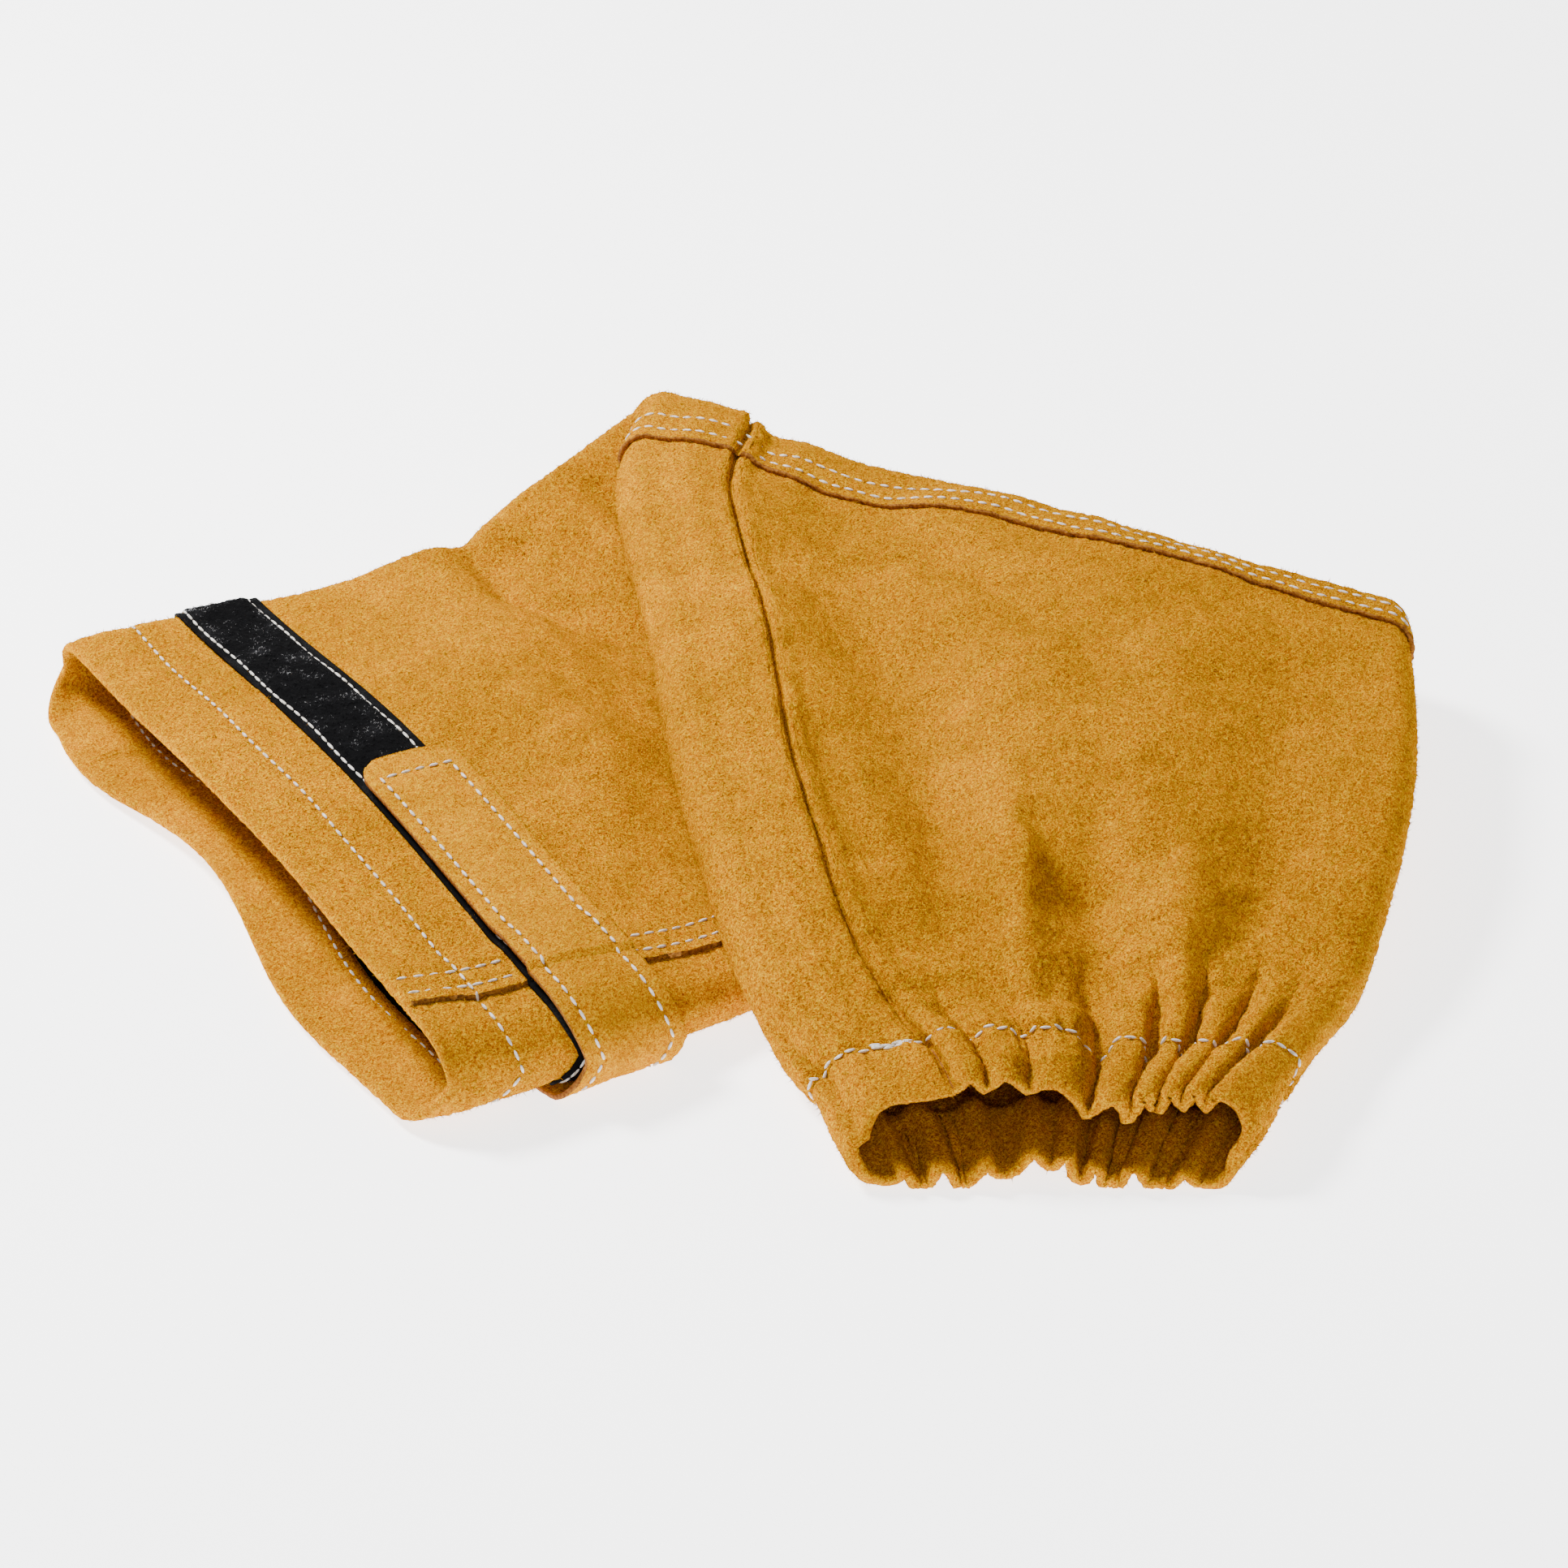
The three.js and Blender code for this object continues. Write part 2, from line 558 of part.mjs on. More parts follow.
const cornerShare = (share) => STRAP_CORNER * share * layerShare / widthAtTape;
const cornerSteps = [0, 0.08, 0.3, 0.62, 1];
const strapColumns = [
  ...cornerSteps.map((share) => freeEnd + cornerShare(share)),
  ...columnsBetween(freeEnd + cornerShare(1), sewnEnd).slice(1),
];

function strapPlace(rows, inset) {
  return (r, c) => {
    const p = strapColumns[c];
    const fromEnd = Math.min((p - freeEnd) * widthAtTape / layerShare / STRAP_CORNER, 1);
    const trim = STRAP_CORNER * (1 - Math.sqrt(Math.max(0, 1 - (1 - fromEnd) ** 2)));
    const low = STRAP_START + inset + trim;
    const high = STRAP_END - inset - trim;
    return { v: low + (high - low) * r / (rows - 1), p };
  };
}

const hookInner = (v, p) => tapeOuter(v, p) + CLEARANCE;
const hookOuter = (v, p) => hookInner(v, p) + HOOK_THICKNESS;
const strapInner = (v, p) => hookOuter(v, p) + CLEARANCE;
const strapOuter = (v, p) => strapInner(v, p) + LEATHER;
addPiece(
  'strap_tab',
  patchSolid(4, strapColumns.length, strapPlace(4, 0), strapOuter, strapInner, false),
  strapSuede,
);

const hookStart = STRAP_START + HOOK_INSET;
const hookWidth = STRAP_END - STRAP_START - 2 * HOOK_INSET;
const hookShare = HOOK_INSET * layerShare / widthAtTape;
const hookColumns = columnsBetween(freeEnd + hookShare, inLayerShare(1));
addPiece(
  'hook_tape',
  patchSolid(
    3,
    hookColumns.length,
    (r, c) => ({ v: hookStart + hookWidth * r / 2, p: hookColumns[c] }),
    hookOuter,
    hookInner,
    false,
  ),
  blackTape,
);

// Black band inside the cuff, behind the loop tape and sewn down with it
const bandOuter = () => -LEATHER / 2 - CLEARANCE;
const bandInner = () => bandOuter() - BAND_THICKNESS;
const bandRows = [
  CUFF_HEM + STEP + CLEARANCE,
  TAPE_SETBACK,
  TAPE_SETBACK + TAPE_WIDTH / 2,
  TAPE_END,
];
addPiece(
  'inner_band',
  patchSolid(
    bandRows.length,
    tapeColumns.length,
    (r, c) => ({ v: bandRows[r], p: tapeColumns[c] }),
    bandOuter,
    bandInner,
    true,
  ),
  blackTape,
);

// Rest on Z = 0 with the middle of the outline over the origin
const bounds = new THREE.Box3().setFromObject(sleeve);
const middle = bounds.getCenter(new THREE.Vector3());
sleeve.position.set(-middle.x, -middle.y, -bounds.min.z);

export default sleeve;
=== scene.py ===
import math

import bpy
import numpy as np
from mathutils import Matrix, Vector, noise


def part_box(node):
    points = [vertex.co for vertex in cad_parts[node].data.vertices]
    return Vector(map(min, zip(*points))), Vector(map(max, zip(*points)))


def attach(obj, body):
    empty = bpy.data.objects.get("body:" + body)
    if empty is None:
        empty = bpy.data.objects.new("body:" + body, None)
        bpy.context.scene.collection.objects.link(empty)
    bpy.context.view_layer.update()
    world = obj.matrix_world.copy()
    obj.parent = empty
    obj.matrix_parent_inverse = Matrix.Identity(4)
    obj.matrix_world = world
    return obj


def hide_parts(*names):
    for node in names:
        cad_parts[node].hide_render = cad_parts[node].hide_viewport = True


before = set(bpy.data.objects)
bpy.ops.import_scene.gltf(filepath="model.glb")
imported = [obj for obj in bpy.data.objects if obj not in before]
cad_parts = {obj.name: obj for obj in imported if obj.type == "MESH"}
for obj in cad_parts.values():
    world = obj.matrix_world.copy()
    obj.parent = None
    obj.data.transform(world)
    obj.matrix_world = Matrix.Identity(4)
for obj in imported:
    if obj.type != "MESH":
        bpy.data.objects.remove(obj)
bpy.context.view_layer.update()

MM = 0.001

# Camera
# A long lens looks down at the folded sleeve from the side of its cuff and wrist, as the photograph does.
CAMERA_DOWN = math.radians(35)
CAMERA_TURN = math.radians(32)
CAMERA_DISTANCE = 1.18
CAMERA_TARGET = Vector((-0.0025, 0.0279, 0.0))

view_line = Vector((
    math.sin(CAMERA_TURN) * math.cos(CAMERA_DOWN),
    math.cos(CAMERA_TURN) * math.cos(CAMERA_DOWN),
    -math.sin(CAMERA_DOWN),
))
camera = bpy.data.objects.new("camera", bpy.data.cameras.new("camera"))
camera.data.lens = 95
camera.data.sensor_width = 36
camera.location = CAMERA_TARGET - view_line * CAMERA_DISTANCE
camera.rotation_euler = view_line.to_track_quat("-Z", "Y").to_euler()
bpy.context.scene.collection.objects.link(camera)
bpy.context.scene.camera = camera

# Upper arm panel
# One piece of golden split suede, cut flat, closed to a tube by a lapped seam with two rows of thread.
# Its end is turned in and sewn down as the cuff's hem, and it is folded back over itself at the middle
# of the sleeve, where it laps over the forearm.
UPPER_LENGTH = 260 * MM
FOREARM_LENGTH = 270 * MM
CUFF_WIDTH = 236 * MM
FOREARM_WIDTH = 220 * MM
WRIST_WIDTH = 108 * MM
FOLD_HEIGHT = 46 * MM
FOREARM_HEADING = math.radians(-122)
LEATHER = 1.4 * MM
CLEARANCE = 0.35 * MM
CUFF_HEM = 21 * MM
HEM_STITCH = 19.5 * MM
SEAM_LAP = 14 * MM
SEAM_FROM_FOLD = 33 * MM
LAP_RAMP = 7 * MM
LAP_SEAM = 0.965
LAP_SEAM_WIDTH = 13 * MM
PLAIN_SEAM = 0.12
FLAT_RUN = 0.17
FLAT_RAMP = 0.03
DENT_EDGE = 0.06
CASING = 26 * MM
GATHERS = 18
GATHER_DEPTH = 3.1 * MM
GATHER_REACH = 2.2 * CASING
GATHER_REACH_CHANGE = 0.7 * CASING
TAPE_SETBACK = 35 * MM
TAPE_WIDTH = 26 * MM
TAPE_THICKNESS = 1.6 * MM
HOOK_INSET = 3 * MM
HOOK_THICKNESS = 1.2 * MM
STRAP_OVERHANG = 2 * MM
STRAP_SHIFT = 2 * MM
STRAP_REACH = 106 * MM
STRAP_UNDER = 46 * MM
STRAP_CORNER = 9 * MM
BAND_THICKNESS = 1 * MM
TAPE_END = TAPE_SETBACK + TAPE_WIDTH
STRAP_START = TAPE_SETBACK - STRAP_OVERHANG + STRAP_SHIFT
STRAP_END = TAPE_END + STRAP_OVERHANG + STRAP_SHIFT
REST_RAMP = 14 * MM
EDGE_SHARE = 0.06
LAYER_SHARE = 0.5 - EDGE_SHARE
HEM_OFFSET = -LEATHER * 1.5
SEWING_ROWS = (4 * MM, 10.5 * MM)
NORMAL_STEP = 0.6 * MM
NORMAL_SHARE = 0.0012
FLOOR_GAP = 0.1 * MM

# Each row is one section of the sleeve: along and across for its far and near edges, as shares of the
# length and width it belongs to, and the heights, rounds, crowns and leans as shares of FOLD_HEIGHT
COLUMNS = (
    "far_along", "far_across", "far_high", "near_along", "near_across", "near_high", "turn",
    "far_round", "near_round", "crown_in", "crown_out", "lean_in", "lean_out", "slide",
)
UPPER_SECTIONS = (
    (0.000, -0.443, 0.31, 0.010, 0.436, 0.33, 0, 0.26, 0.27, 0.09, 0.04, -0.02, 0.22, 0),
    (0.085, -0.446, 0.30, 0.085, 0.455, 0.32, 0, 0.24, 0.25, 0.13, 0.04, -0.06, 0.20, 0),
    (0.190, -0.452, 0.26, 0.190, 0.462, 0.31, 0, 0.20, 0.22, 0.15, 0.03, -0.10, 0.13, 0),
    (0.340, -0.456, 0.21, 0.340, 0.470, 0.21, 0, 0.16, 0.16, 0.15, 0.07, -0.07, 0.05, 0),
    (0.490, -0.458, 0.25, 0.560, 0.448, 0.17, 0, 0.14, 0.13, 0.01, 0.09, -0.02, 0.01, 0),
    (0.590, -0.470, 0.46, 0.820, 0.405, 0.16, 0, 0.13, 0.12, -0.09, 0.16, 0, 0, 0),
    (0.690, -0.485, 0.63, 1.050, 0.370, 0.18, 8, 0.12, 0.12, -0.23, 0.14, 0, 0, 0),
    (0.760, -0.500, 0.75, 1.200, 0.350, 0.24, 40, 0.11, 0.11, -0.06, 0.02, 0, 0, 0),
    (0.780, -0.506, 0.83, 1.240, 0.350, 0.42, 90, 0.11, 0.11, 0.00, 0.00, 0, 0, 0),
)
FOREARM_SECTIONS = (
    (-0.140, -0.470, 0.89, 0.225, 0.475, 0.68, 145, 0.13, 0.13, -0.04, 0.00, 0, 0, 0),
    (0.015, -0.490, 0.84, 0.320, 0.470, 0.70, 176, 0.19, 0.16, -0.04, 0.10, 0, 0, 0),
    (0.280, -0.432, 0.76, 0.450, 0.455, 0.64, 180, 0.21, 0.17, 0.00, 0.14, 0, 0, 0),
    (0.470, -0.400, 0.73, 0.580, 0.423, 0.55, 180, 0.21, 0.17, 0.00, 0.14, 0, 0, 0),
    (0.650, -0.362, 0.69, 0.695, 0.382, 0.42, 180, 0.20, 0.17, 0.02, 0.12, 0, 0, 0.04),
    (0.785, -0.318, 0.51, 0.780, 0.341, 0.28, 180, 0.19, 0.17, 0.03, 0.10, 0, 0, 0.12),
)
WRIST_SECTIONS = (
    (0.865, -0.525, 0.32, 0.850, 0.580, 0.25, 180, 0.19, 0.18, 0.04, 0.10, 0.00, 0.00, 0.20),
    (0.925, -0.415, 0.27, 0.920, 0.475, 0.25, 180, 0.19, 0.19, 0.04, 0.10, 0.04, 0.04, 0.24),
    (1.000, -0.350, 0.28, 1.000, 0.370, 0.26, 180, 0.20, 0.20, 0.03, 0.08, 0.06, 0.16, 0.25),
)

# Dents and swells: layer, along the whole sleeve, across its layer, the reach of each, the height out of
# the sleeve and the push towards the wrist
DENTS = (
    ("out", 0.000, 0.42, 0.07, 0.20, -0.12, 0.14),
    ("out", 0.000, 0.14, 0.07, 0.12, 0, -0.07),
    ("out", 0.000, 0.76, 0.07, 0.15, 0, -0.07),
    ("in", 0.000, 0.62, 0.06, 0.20, -0.05, 0.05),
    ("in", 0.285, 0.10, 0.03, 0.22, -0.12, 0),
    ("in", 0.180, 0.40, 0.08, 0.22, 0.07, 0),
    ("in", 0.335, 0.20, 0.02, 0.15, 0.05, 0),
    ("in", 0.375, 0.14, 0.022, 0.13, -0.09, 0),
    ("out", 0.515, 0.16, 0.035, 0.035, -0.10, 0),
    ("out", 0.620, 0.26, 0.12, 0.08, -0.14, 0),
    ("out", 0.730, 0.34, 0.17, 0.09, -0.20, 0),
    ("out", 0.700, 0.08, 0.20, 0.09, 0.08, 0),
    ("out", 0.690, 0.66, 0.14, 0.16, 0.07, 0),
    ("out", 0.780, 0.84, 0.10, 0.09, -0.10, 0),
    ("out", 0.600, 0.58, 0.06, 0.12, -0.06, 0),
    ("out", 0.860, 0.44, 0.07, 0.045, 0.14, 0),
    ("out", 0.850, 0.58, 0.08, 0.05, -0.12, 0),
    ("out", 0.860, 0.72, 0.06, 0.05, 0.11, 0),
    ("out", 1.000, 0.32, 0.06, 0.12, 0.09, 0),
    ("out", 1.000, 0.68, 0.06, 0.14, -0.12, 0.06),
    ("in", 1.000, 0.47, 0.06, 0.16, -0.12, -0.05),
)


def plan_point(origin, heading, along, across, high):
    x = origin[0] + math.cos(heading) * along + math.sin(heading) * across
    y = origin[1] + math.sin(heading) * along - math.cos(heading) * across
    return np.array((x, y, high))


def place_section(row, origin, heading, length, width, side):
    r = dict(zip(COLUMNS, row))
    far = plan_point(origin, heading, r["far_along"] * length, side * r["far_across"] * width,
                     r["far_high"] * FOLD_HEIGHT)
    near = plan_point(origin, heading, r["near_along"] * length, side * r["near_across"] * width,
                      r["near_high"] * FOLD_HEIGHT)
    heights = [r[name] * FOLD_HEIGHT for name in COLUMNS[7:13]]
    return np.concatenate((far, near, (math.radians(r["turn"]),), heights, (r["slide"],)))


last_upper = dict(zip(COLUMNS, UPPER_SECTIONS[-1]))
fold_middle = plan_point(
    (0, 0), 0,
    UPPER_LENGTH * (last_upper["far_along"] + last_upper["near_along"]) / 2,
    CUFF_WIDTH * (last_upper["far_across"] + last_upper["near_across"]) / 2,
    0,
)
sections = np.array(
    [place_section(row, (0, 0), 0, UPPER_LENGTH, CUFF_WIDTH, 1) for row in UPPER_SECTIONS]
    + [place_section(row, fold_middle, FOREARM_HEADING, FOREARM_LENGTH, FOREARM_WIDTH, -1)
       for row in FOREARM_SECTIONS]
    + [place_section(row, fold_middle, FOREARM_HEADING, FOREARM_LENGTH, WRIST_WIDTH, -1)
       for row in WRIST_SECTIONS]
)
middles = (sections[:, 0:3] + sections[:, 3:6]) / 2
stations = np.concatenate(((0,), np.cumsum(np.linalg.norm(np.diff(middles, axis=0), axis=1))))
SLEEVE_END = stations[-1]
FOLD_STATION = stations[len(UPPER_SECTIONS) - 1]
SEAM_STATION = FOLD_STATION + SEAM_FROM_FOLD
LAP_START = SEAM_STATION - SEAM_LAP

lower = np.maximum(np.arange(len(stations)) - 1, 0)
upper = np.minimum(np.arange(len(stations)) + 1, len(stations) - 1)
slopes = (sections[upper] - sections[lower]) / (stations[upper] - stations[lower])[:, None]


def section_at(v):
    """Every column of the section table, run smoothly through its rows."""
    i = np.clip(np.searchsorted(stations, v, side="left") - 1, 0, len(stations) - 2)
    span = stations[i + 1] - stations[i]
    s = np.clip((v - stations[i]) / span, 0, 1)[:, None]
    span = span[:, None]
    return ((2 * s**3 - 3 * s**2 + 1) * sections[i] + (-2 * s**3 + 3 * s**2) * sections[i + 1]
            + span * ((s**3 - 2 * s**2 + s) * slopes[i] + (s**3 - s**2) * slopes[i + 1]))


def smoothstep(x, low, high):
    s = np.clip((x - low) / np.maximum(high - low, 1e-9), 0, 1)
    return s * s * (3 - 2 * s)


def in_share(across):
    return EDGE_SHARE / 2 + LAYER_SHARE * across


def out_share(across):
    return 1 - EDGE_SHARE / 2 - LAYER_SHARE * across


def across_in(p):
    """How far across the inner layer a share of the way round lies, the reverse of in_share."""
    return (p - EDGE_SHARE / 2) / LAYER_SHARE


def across_out(p):
    return (1 - EDGE_SHARE / 2 - p) / LAYER_SHARE


def dent_move(layer, v, across):
    """How far the dents move a point out of its layer and along the sleeve."""
    height, push = np.zeros_like(v), np.zeros_like(v)
    edges = smoothstep(across, 0, DENT_EDGE) * (1 - smoothstep(across, 1 - DENT_EDGE, 1))
    for row_layer, along, middle, along_span, across_span, rise, shove in DENTS:
        if row_layer == layer:
            a = (v / SLEEVE_END - along) / along_span
            b = (across - middle) / across_span
            strength = edges * FOLD_HEIGHT * np.exp(-(a * a + b * b))
            height += rise * strength
            push += shove * strength
    return height, push


def gather_height(v, p):
    """Uneven ruffles of the elastic wrist, with rounded ridges and narrow creases between them."""
    def wave(turns, phase):
        return np.sin(2 * np.pi * (turns * p + phase))

    reach = GATHER_REACH + GATHER_REACH_CHANGE * wave(7, 0.1) * wave(4, 0)
    fade = smoothstep(v, SLEEVE_END - reach, SLEEVE_END - CASING)
    flat_start = out_share(FLAT_RUN)
    held = smoothstep(p, flat_start, flat_start + FLAT_RAMP)
    wander = 0.45 * wave(3, 0.2) + 0.3 * wave(5, 0.6)
    turn = 2 * np.pi * GATHERS * p + 2.2 * wander
    ridge = 2 * np.abs(np.cos((turn - np.pi / 2) / 2)) ** 0.8 - 1.1
    return GATHER_DEPTH * fade * (1 - held) * (0.9 + wander * 0.5) * ridge


def rest_level(v, p):
    """Lowest height of the middle surface: the floor, or the tape and strap that lie on the floor."""
    start = TAPE_SETBACK - STRAP_OVERHANG
    end = STRAP_END
    over_tape = smoothstep(v, start - REST_RAMP, start) * (1 - smoothstep(v, end, end + REST_RAMP))
    past_near = (p - 0.5 - EDGE_SHARE / 2) * 2 * CUFF_WIDTH
    over_strap = 1 - smoothstep(past_near, STRAP_UNDER, STRAP_UNDER + REST_RAMP)
    strap_stack = 2 * CLEARANCE + HOOK_THICKNESS + LEATHER
    return LEATHER / 2 + over_tape * (CLEARANCE + TAPE_THICKNESS + over_strap * strap_stack)


def middle_point(v, p):
    """Point of the sleeve's middle surface, v along it from the cuff, p the share of the way round."""
    table = section_at(v)
    far, near, turn = table[:, 0:3], table[:, 3:6], table[:, 6]
    far_round, near_round, crown_in, crown_out, lean_in, lean_out, slide = table[:, 7:14].T
    chord = near - far
    chord /= np.linalg.norm(chord, axis=1)[:, None]
    up = np.array((0, 0, 1.0)) - chord * chord[:, 2:3]
    up /= np.linalg.norm(up, axis=1)[:, None]
    forward = np.cross(up, chord)
    cos, sin = np.cos(turn)[:, None], np.sin(turn)[:, None]
    inward = up * cos - forward * sin
    travel = forward * cos + up * sin
    q = p % 1
    half = EDGE_SHARE / 2
    far_edge = (q < half) | (q > 1 - half)
    near_edge = np.abs(q - 0.5) <= half
    inner = (q >= half) & (q < 0.5 - half)
    angle = np.where(far_edge, np.where(q < 0.5, q, q - 1), 0.5 - q) / half * np.pi / 2
    sign = np.where(far_edge, -1, 1)
    round_out = chord * (sign * np.cos(angle))[:, None] + inward * np.sin(angle)[:, None]
    flat = np.where(inner, (q - half) / LAYER_SHARE, (1 - half - q) / LAYER_SHARE)
    across = np.where(inner, flat, flat + slide * flat * (1 - flat) * 2)
    across = np.clip(across, 0, 1)
    bulge = np.sin(np.pi * across) ** 1.5
    rise = far_round + (near_round - far_round) * across
    dent_in, dent_out = dent_move("in", v, across), dent_move("out", v, across)
    rise = rise + np.where(inner, crown_in * bulge + dent_in[0], crown_out * bulge + dent_out[0])
    flat_out = inward * np.where(inner, 1, -1)[:, None]
    edge = (far_edge | near_edge)[:, None]
    out = np.where(edge, round_out, flat_out)
    centre = np.where(far_edge[:, None], far, np.where(near_edge[:, None], near,
                                                       far + (near - far) * across[:, None]))
    reach = np.where(far_edge, far_round, np.where(near_edge, near_round, rise))
    side = np.where(edge[:, 0], np.sin(angle), np.where(inner, 1, -1))
    point = centre + out * (reach + gather_height(v, q))[:, None]
    push = np.where(edge[:, 0], 0, np.where(inner, dent_in[1], dent_out[1]))
    point = point + travel * (np.where(side > 0, lean_in, lean_out) * side + push)[:, None]
    point[:, 2] = np.maximum(point[:, 2], rest_level(v, q))
    return point


def surface(v, p):
    """Points and outward normals of the middle surface for lists of v and p."""
    v, p = np.broadcast_arrays(np.asarray(v, float), np.asarray(p, float))
    v, p = v.ravel().copy(), p.ravel().copy()
    alongway = (middle_point(np.minimum(v + NORMAL_STEP, SLEEVE_END), p)
                - middle_point(np.maximum(v - NORMAL_STEP, 0), p))
    round_way = middle_point(v, p + NORMAL_SHARE) - middle_point(v, p - NORMAL_SHARE)
    normal = np.cross(round_way, alongway)
    normal /= np.linalg.norm(normal, axis=1)[:, None]
    return middle_point(v, p), normal, alongway / np.linalg.norm(alongway, axis=1)[:, None]


def layer_width(v):
    table = section_at(np.atleast_1d(v).astype(float))
    return np.linalg.norm(table[:, 3:6] - table[:, 0:3], axis=1)


# The frame's box of the panel says where the cuff's middle lies in the frame
trial_v, trial_p = np.meshgrid(np.linspace(0, SEAM_STATION, 90), np.linspace(0, 1, 160, endpoint=False))
trial, trial_normal, _ = surface(trial_v, trial_p)
trial_low = (trial + trial_normal * LEATHER / 2).min(axis=0)
panel_low = np.array(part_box("upper_arm_panel")[0])
place_shift = panel_low - trial_low
place_shift[2] = 0

# Relief of the leather that only the render carries: slow waves, lumps, creases and the nap's unevenness
NAP = 0.3 * MM
WAVE = 1.1 * MM
LUMP = 24 * MM
LUMP_HEIGHT = 1.5 * MM
rng = np.random.default_rng(7)
WAVES = [(rng.uniform(9, 30), rng.integers(2, 9), rng.uniform(0, 2 * np.pi), rng.uniform(0.3, 1))
         for _ in range(14)]

# Creases: layer, then along and across at each end, then width and height
CREASES = (
    ("in", 0.255, -0.03, 0.246, 0.14, 8 * MM, -4.5 * MM),
    ("in", 0.246, 0.14, 0.285, 0.36, 9 * MM, -4.2 * MM),
    ("in", 0.215, 0.00, 0.222, 0.30, 14 * MM, 3.2 * MM),
    ("in", 0.190, 0.24, 0.182, 0.62, 17 * MM, 3.6 * MM),
    ("in", 0.262, 0.40, 0.226, 0.76, 16 * MM, -4.0 * MM),
    ("in", 0.330, 0.35, 0.270, 0.52, 9 * MM, -2.2 * MM),
    ("out", 0.655, 0.00, 0.670, 0.10, 7 * MM, -1.2 * MM),
    ("out", 0.800, 0.00, 0.790, 0.10, 8 * MM, -1.3 * MM),
    ("out", 0.740, 0.17, 0.890, 0.19, 7 * MM, -2.0 * MM),
    ("out", 0.880, 0.29, 0.790, 0.33, 7 * MM, -2.2 * MM),
    ("out", 0.870, 0.50, 0.740, 0.47, 8 * MM, -2.2 * MM),
    ("out", 0.870, 0.67, 0.770, 0.71, 8 * MM, -2.0 * MM),
    ("out", 0.870, 0.82, 0.790, 0.88, 7 * MM, -1.6 * MM),
    ("out", 0.560, 0.34, 0.620, 0.44, 9 * MM, -1.3 * MM),
    ("out", 0.590, 0.72, 0.650, 0.60, 10 * MM, -1.4 * MM),
)


def creases(v, p):
    """Sharper folds, each along a straight line laid on the sleeve and fading past its ends."""
    outer = p > 0.5
    across = np.where(outer, across_out(p), across_in(p))
    width = layer_width(v)
    height = np.zeros_like(p)
    for layer, start, start_across, end, end_across, wide, rise in CREASES:
        run = np.stack(np.broadcast_arrays((end - start) * SLEEVE_END, (end_across - start_across) * width))
        from_start = np.stack((v - start * SLEEVE_END, (across - start_across) * width))
        length = (run * run).sum(axis=0)
        share = np.clip((run * from_start).sum(axis=0) / length, 0, 1)
        away = np.hypot(*(from_start - share * run))
        fade = np.sqrt(np.sin(np.pi * (0.1 + 0.8 * share)))
        height += (outer == (layer == "out")) * rise * fade * np.exp(-(away / wide) ** 2)
    return height


def lumps(v, p):
    """Small uneven swells and hollows of the layer that lies uppermost, the cuff's stack left flat."""
    top = np.where(v < FOLD_STATION, smoothstep(p, 0.03, 0.09) * (1 - smoothstep(p, 0.4, 0.46)),
                   smoothstep(p, 0.54, 0.6) * (1 - smoothstep(p, 0.9, 0.96)))
    top = top * smoothstep(v, STRAP_END, STRAP_END + 30 * MM) * smoothstep(abs(v - FOLD_STATION), 0, 25 * MM)
    width = layer_width(v)
    rough = [noise.noise(Vector((a, b, 0))) + 0.5 * noise.noise(Vector((2.2 * a, 2.2 * b, 7)))
             for a, b in zip(v / LUMP, 2 * p * width / LUMP)]
    return LUMP_HEIGHT * top * np.array(rough)


def soft_waves(v, p):
    """Slow unevenness of hand-laid leather."""
    height = np.zeros_like(v)
    for along_count, round_count, phase, size in WAVES:
        height += size * np.sin(along_count * v / SLEEVE_END * 2 + 2 * np.pi * round_count * p + phase)
    return height / len(WAVES) * 2


def unevenness(v, p):
    return soft_waves(v, p) * WAVE + lumps(v, p) + creases(v, p)


def from_lap_edge(v, p):
    return (LAP_SEAM - across_in(p)) * layer_width(v)


def lap_lift(v, p):
    """The second thickness along the lapped seam, fading out where its hidden edge ends."""
    beyond = from_lap_edge(v, p)
    lift = np.where(beyond < LAP_SEAM_WIDTH, 1, 1 - (beyond - LAP_SEAM_WIDTH) / LAP_RAMP)
    lift = np.where((beyond < 0) | (beyond > LAP_SEAM_WIDTH + LAP_RAMP) | (v > FOLD_STATION), 0, lift)
    return LEATHER * lift


def seam_lift(v):
    """The upper arm's rise over the forearm's end at the seam across the sleeve."""
    return (LEATHER + CLEARANCE) * smoothstep(v, LAP_START - LAP_RAMP, LAP_START - 1 * MM)


def pinch(distance, width=1.3 * MM):
    return np.exp(-(distance / width) ** 2)


def plain_seam_relief(v, p):
    """The narrow groove of a seam sewn inside out, between its two soft shoulders."""
    distance = (across_out(p % 1) - PLAIN_SEAM) * layer_width(v)
    shoulders = pinch(np.abs(distance) - 3.2 * MM, 2.4 * MM)
    return -2.2 * MM * pinch(distance, 0.8 * MM) + 0.9 * MM * shoulders


def clustered(place, spread, count):
    """Extra columns close to a seam, so that its edge is crisp."""
    return place + np.linspace(-spread, spread, count)


COLUMN_SET = 0.0003


def round_columns(count):
    """Even columns round the sleeve, the first set a little past the middle of the far edge."""
    return np.linspace(0, 1, count, endpoint=False) + COLUMN_SET


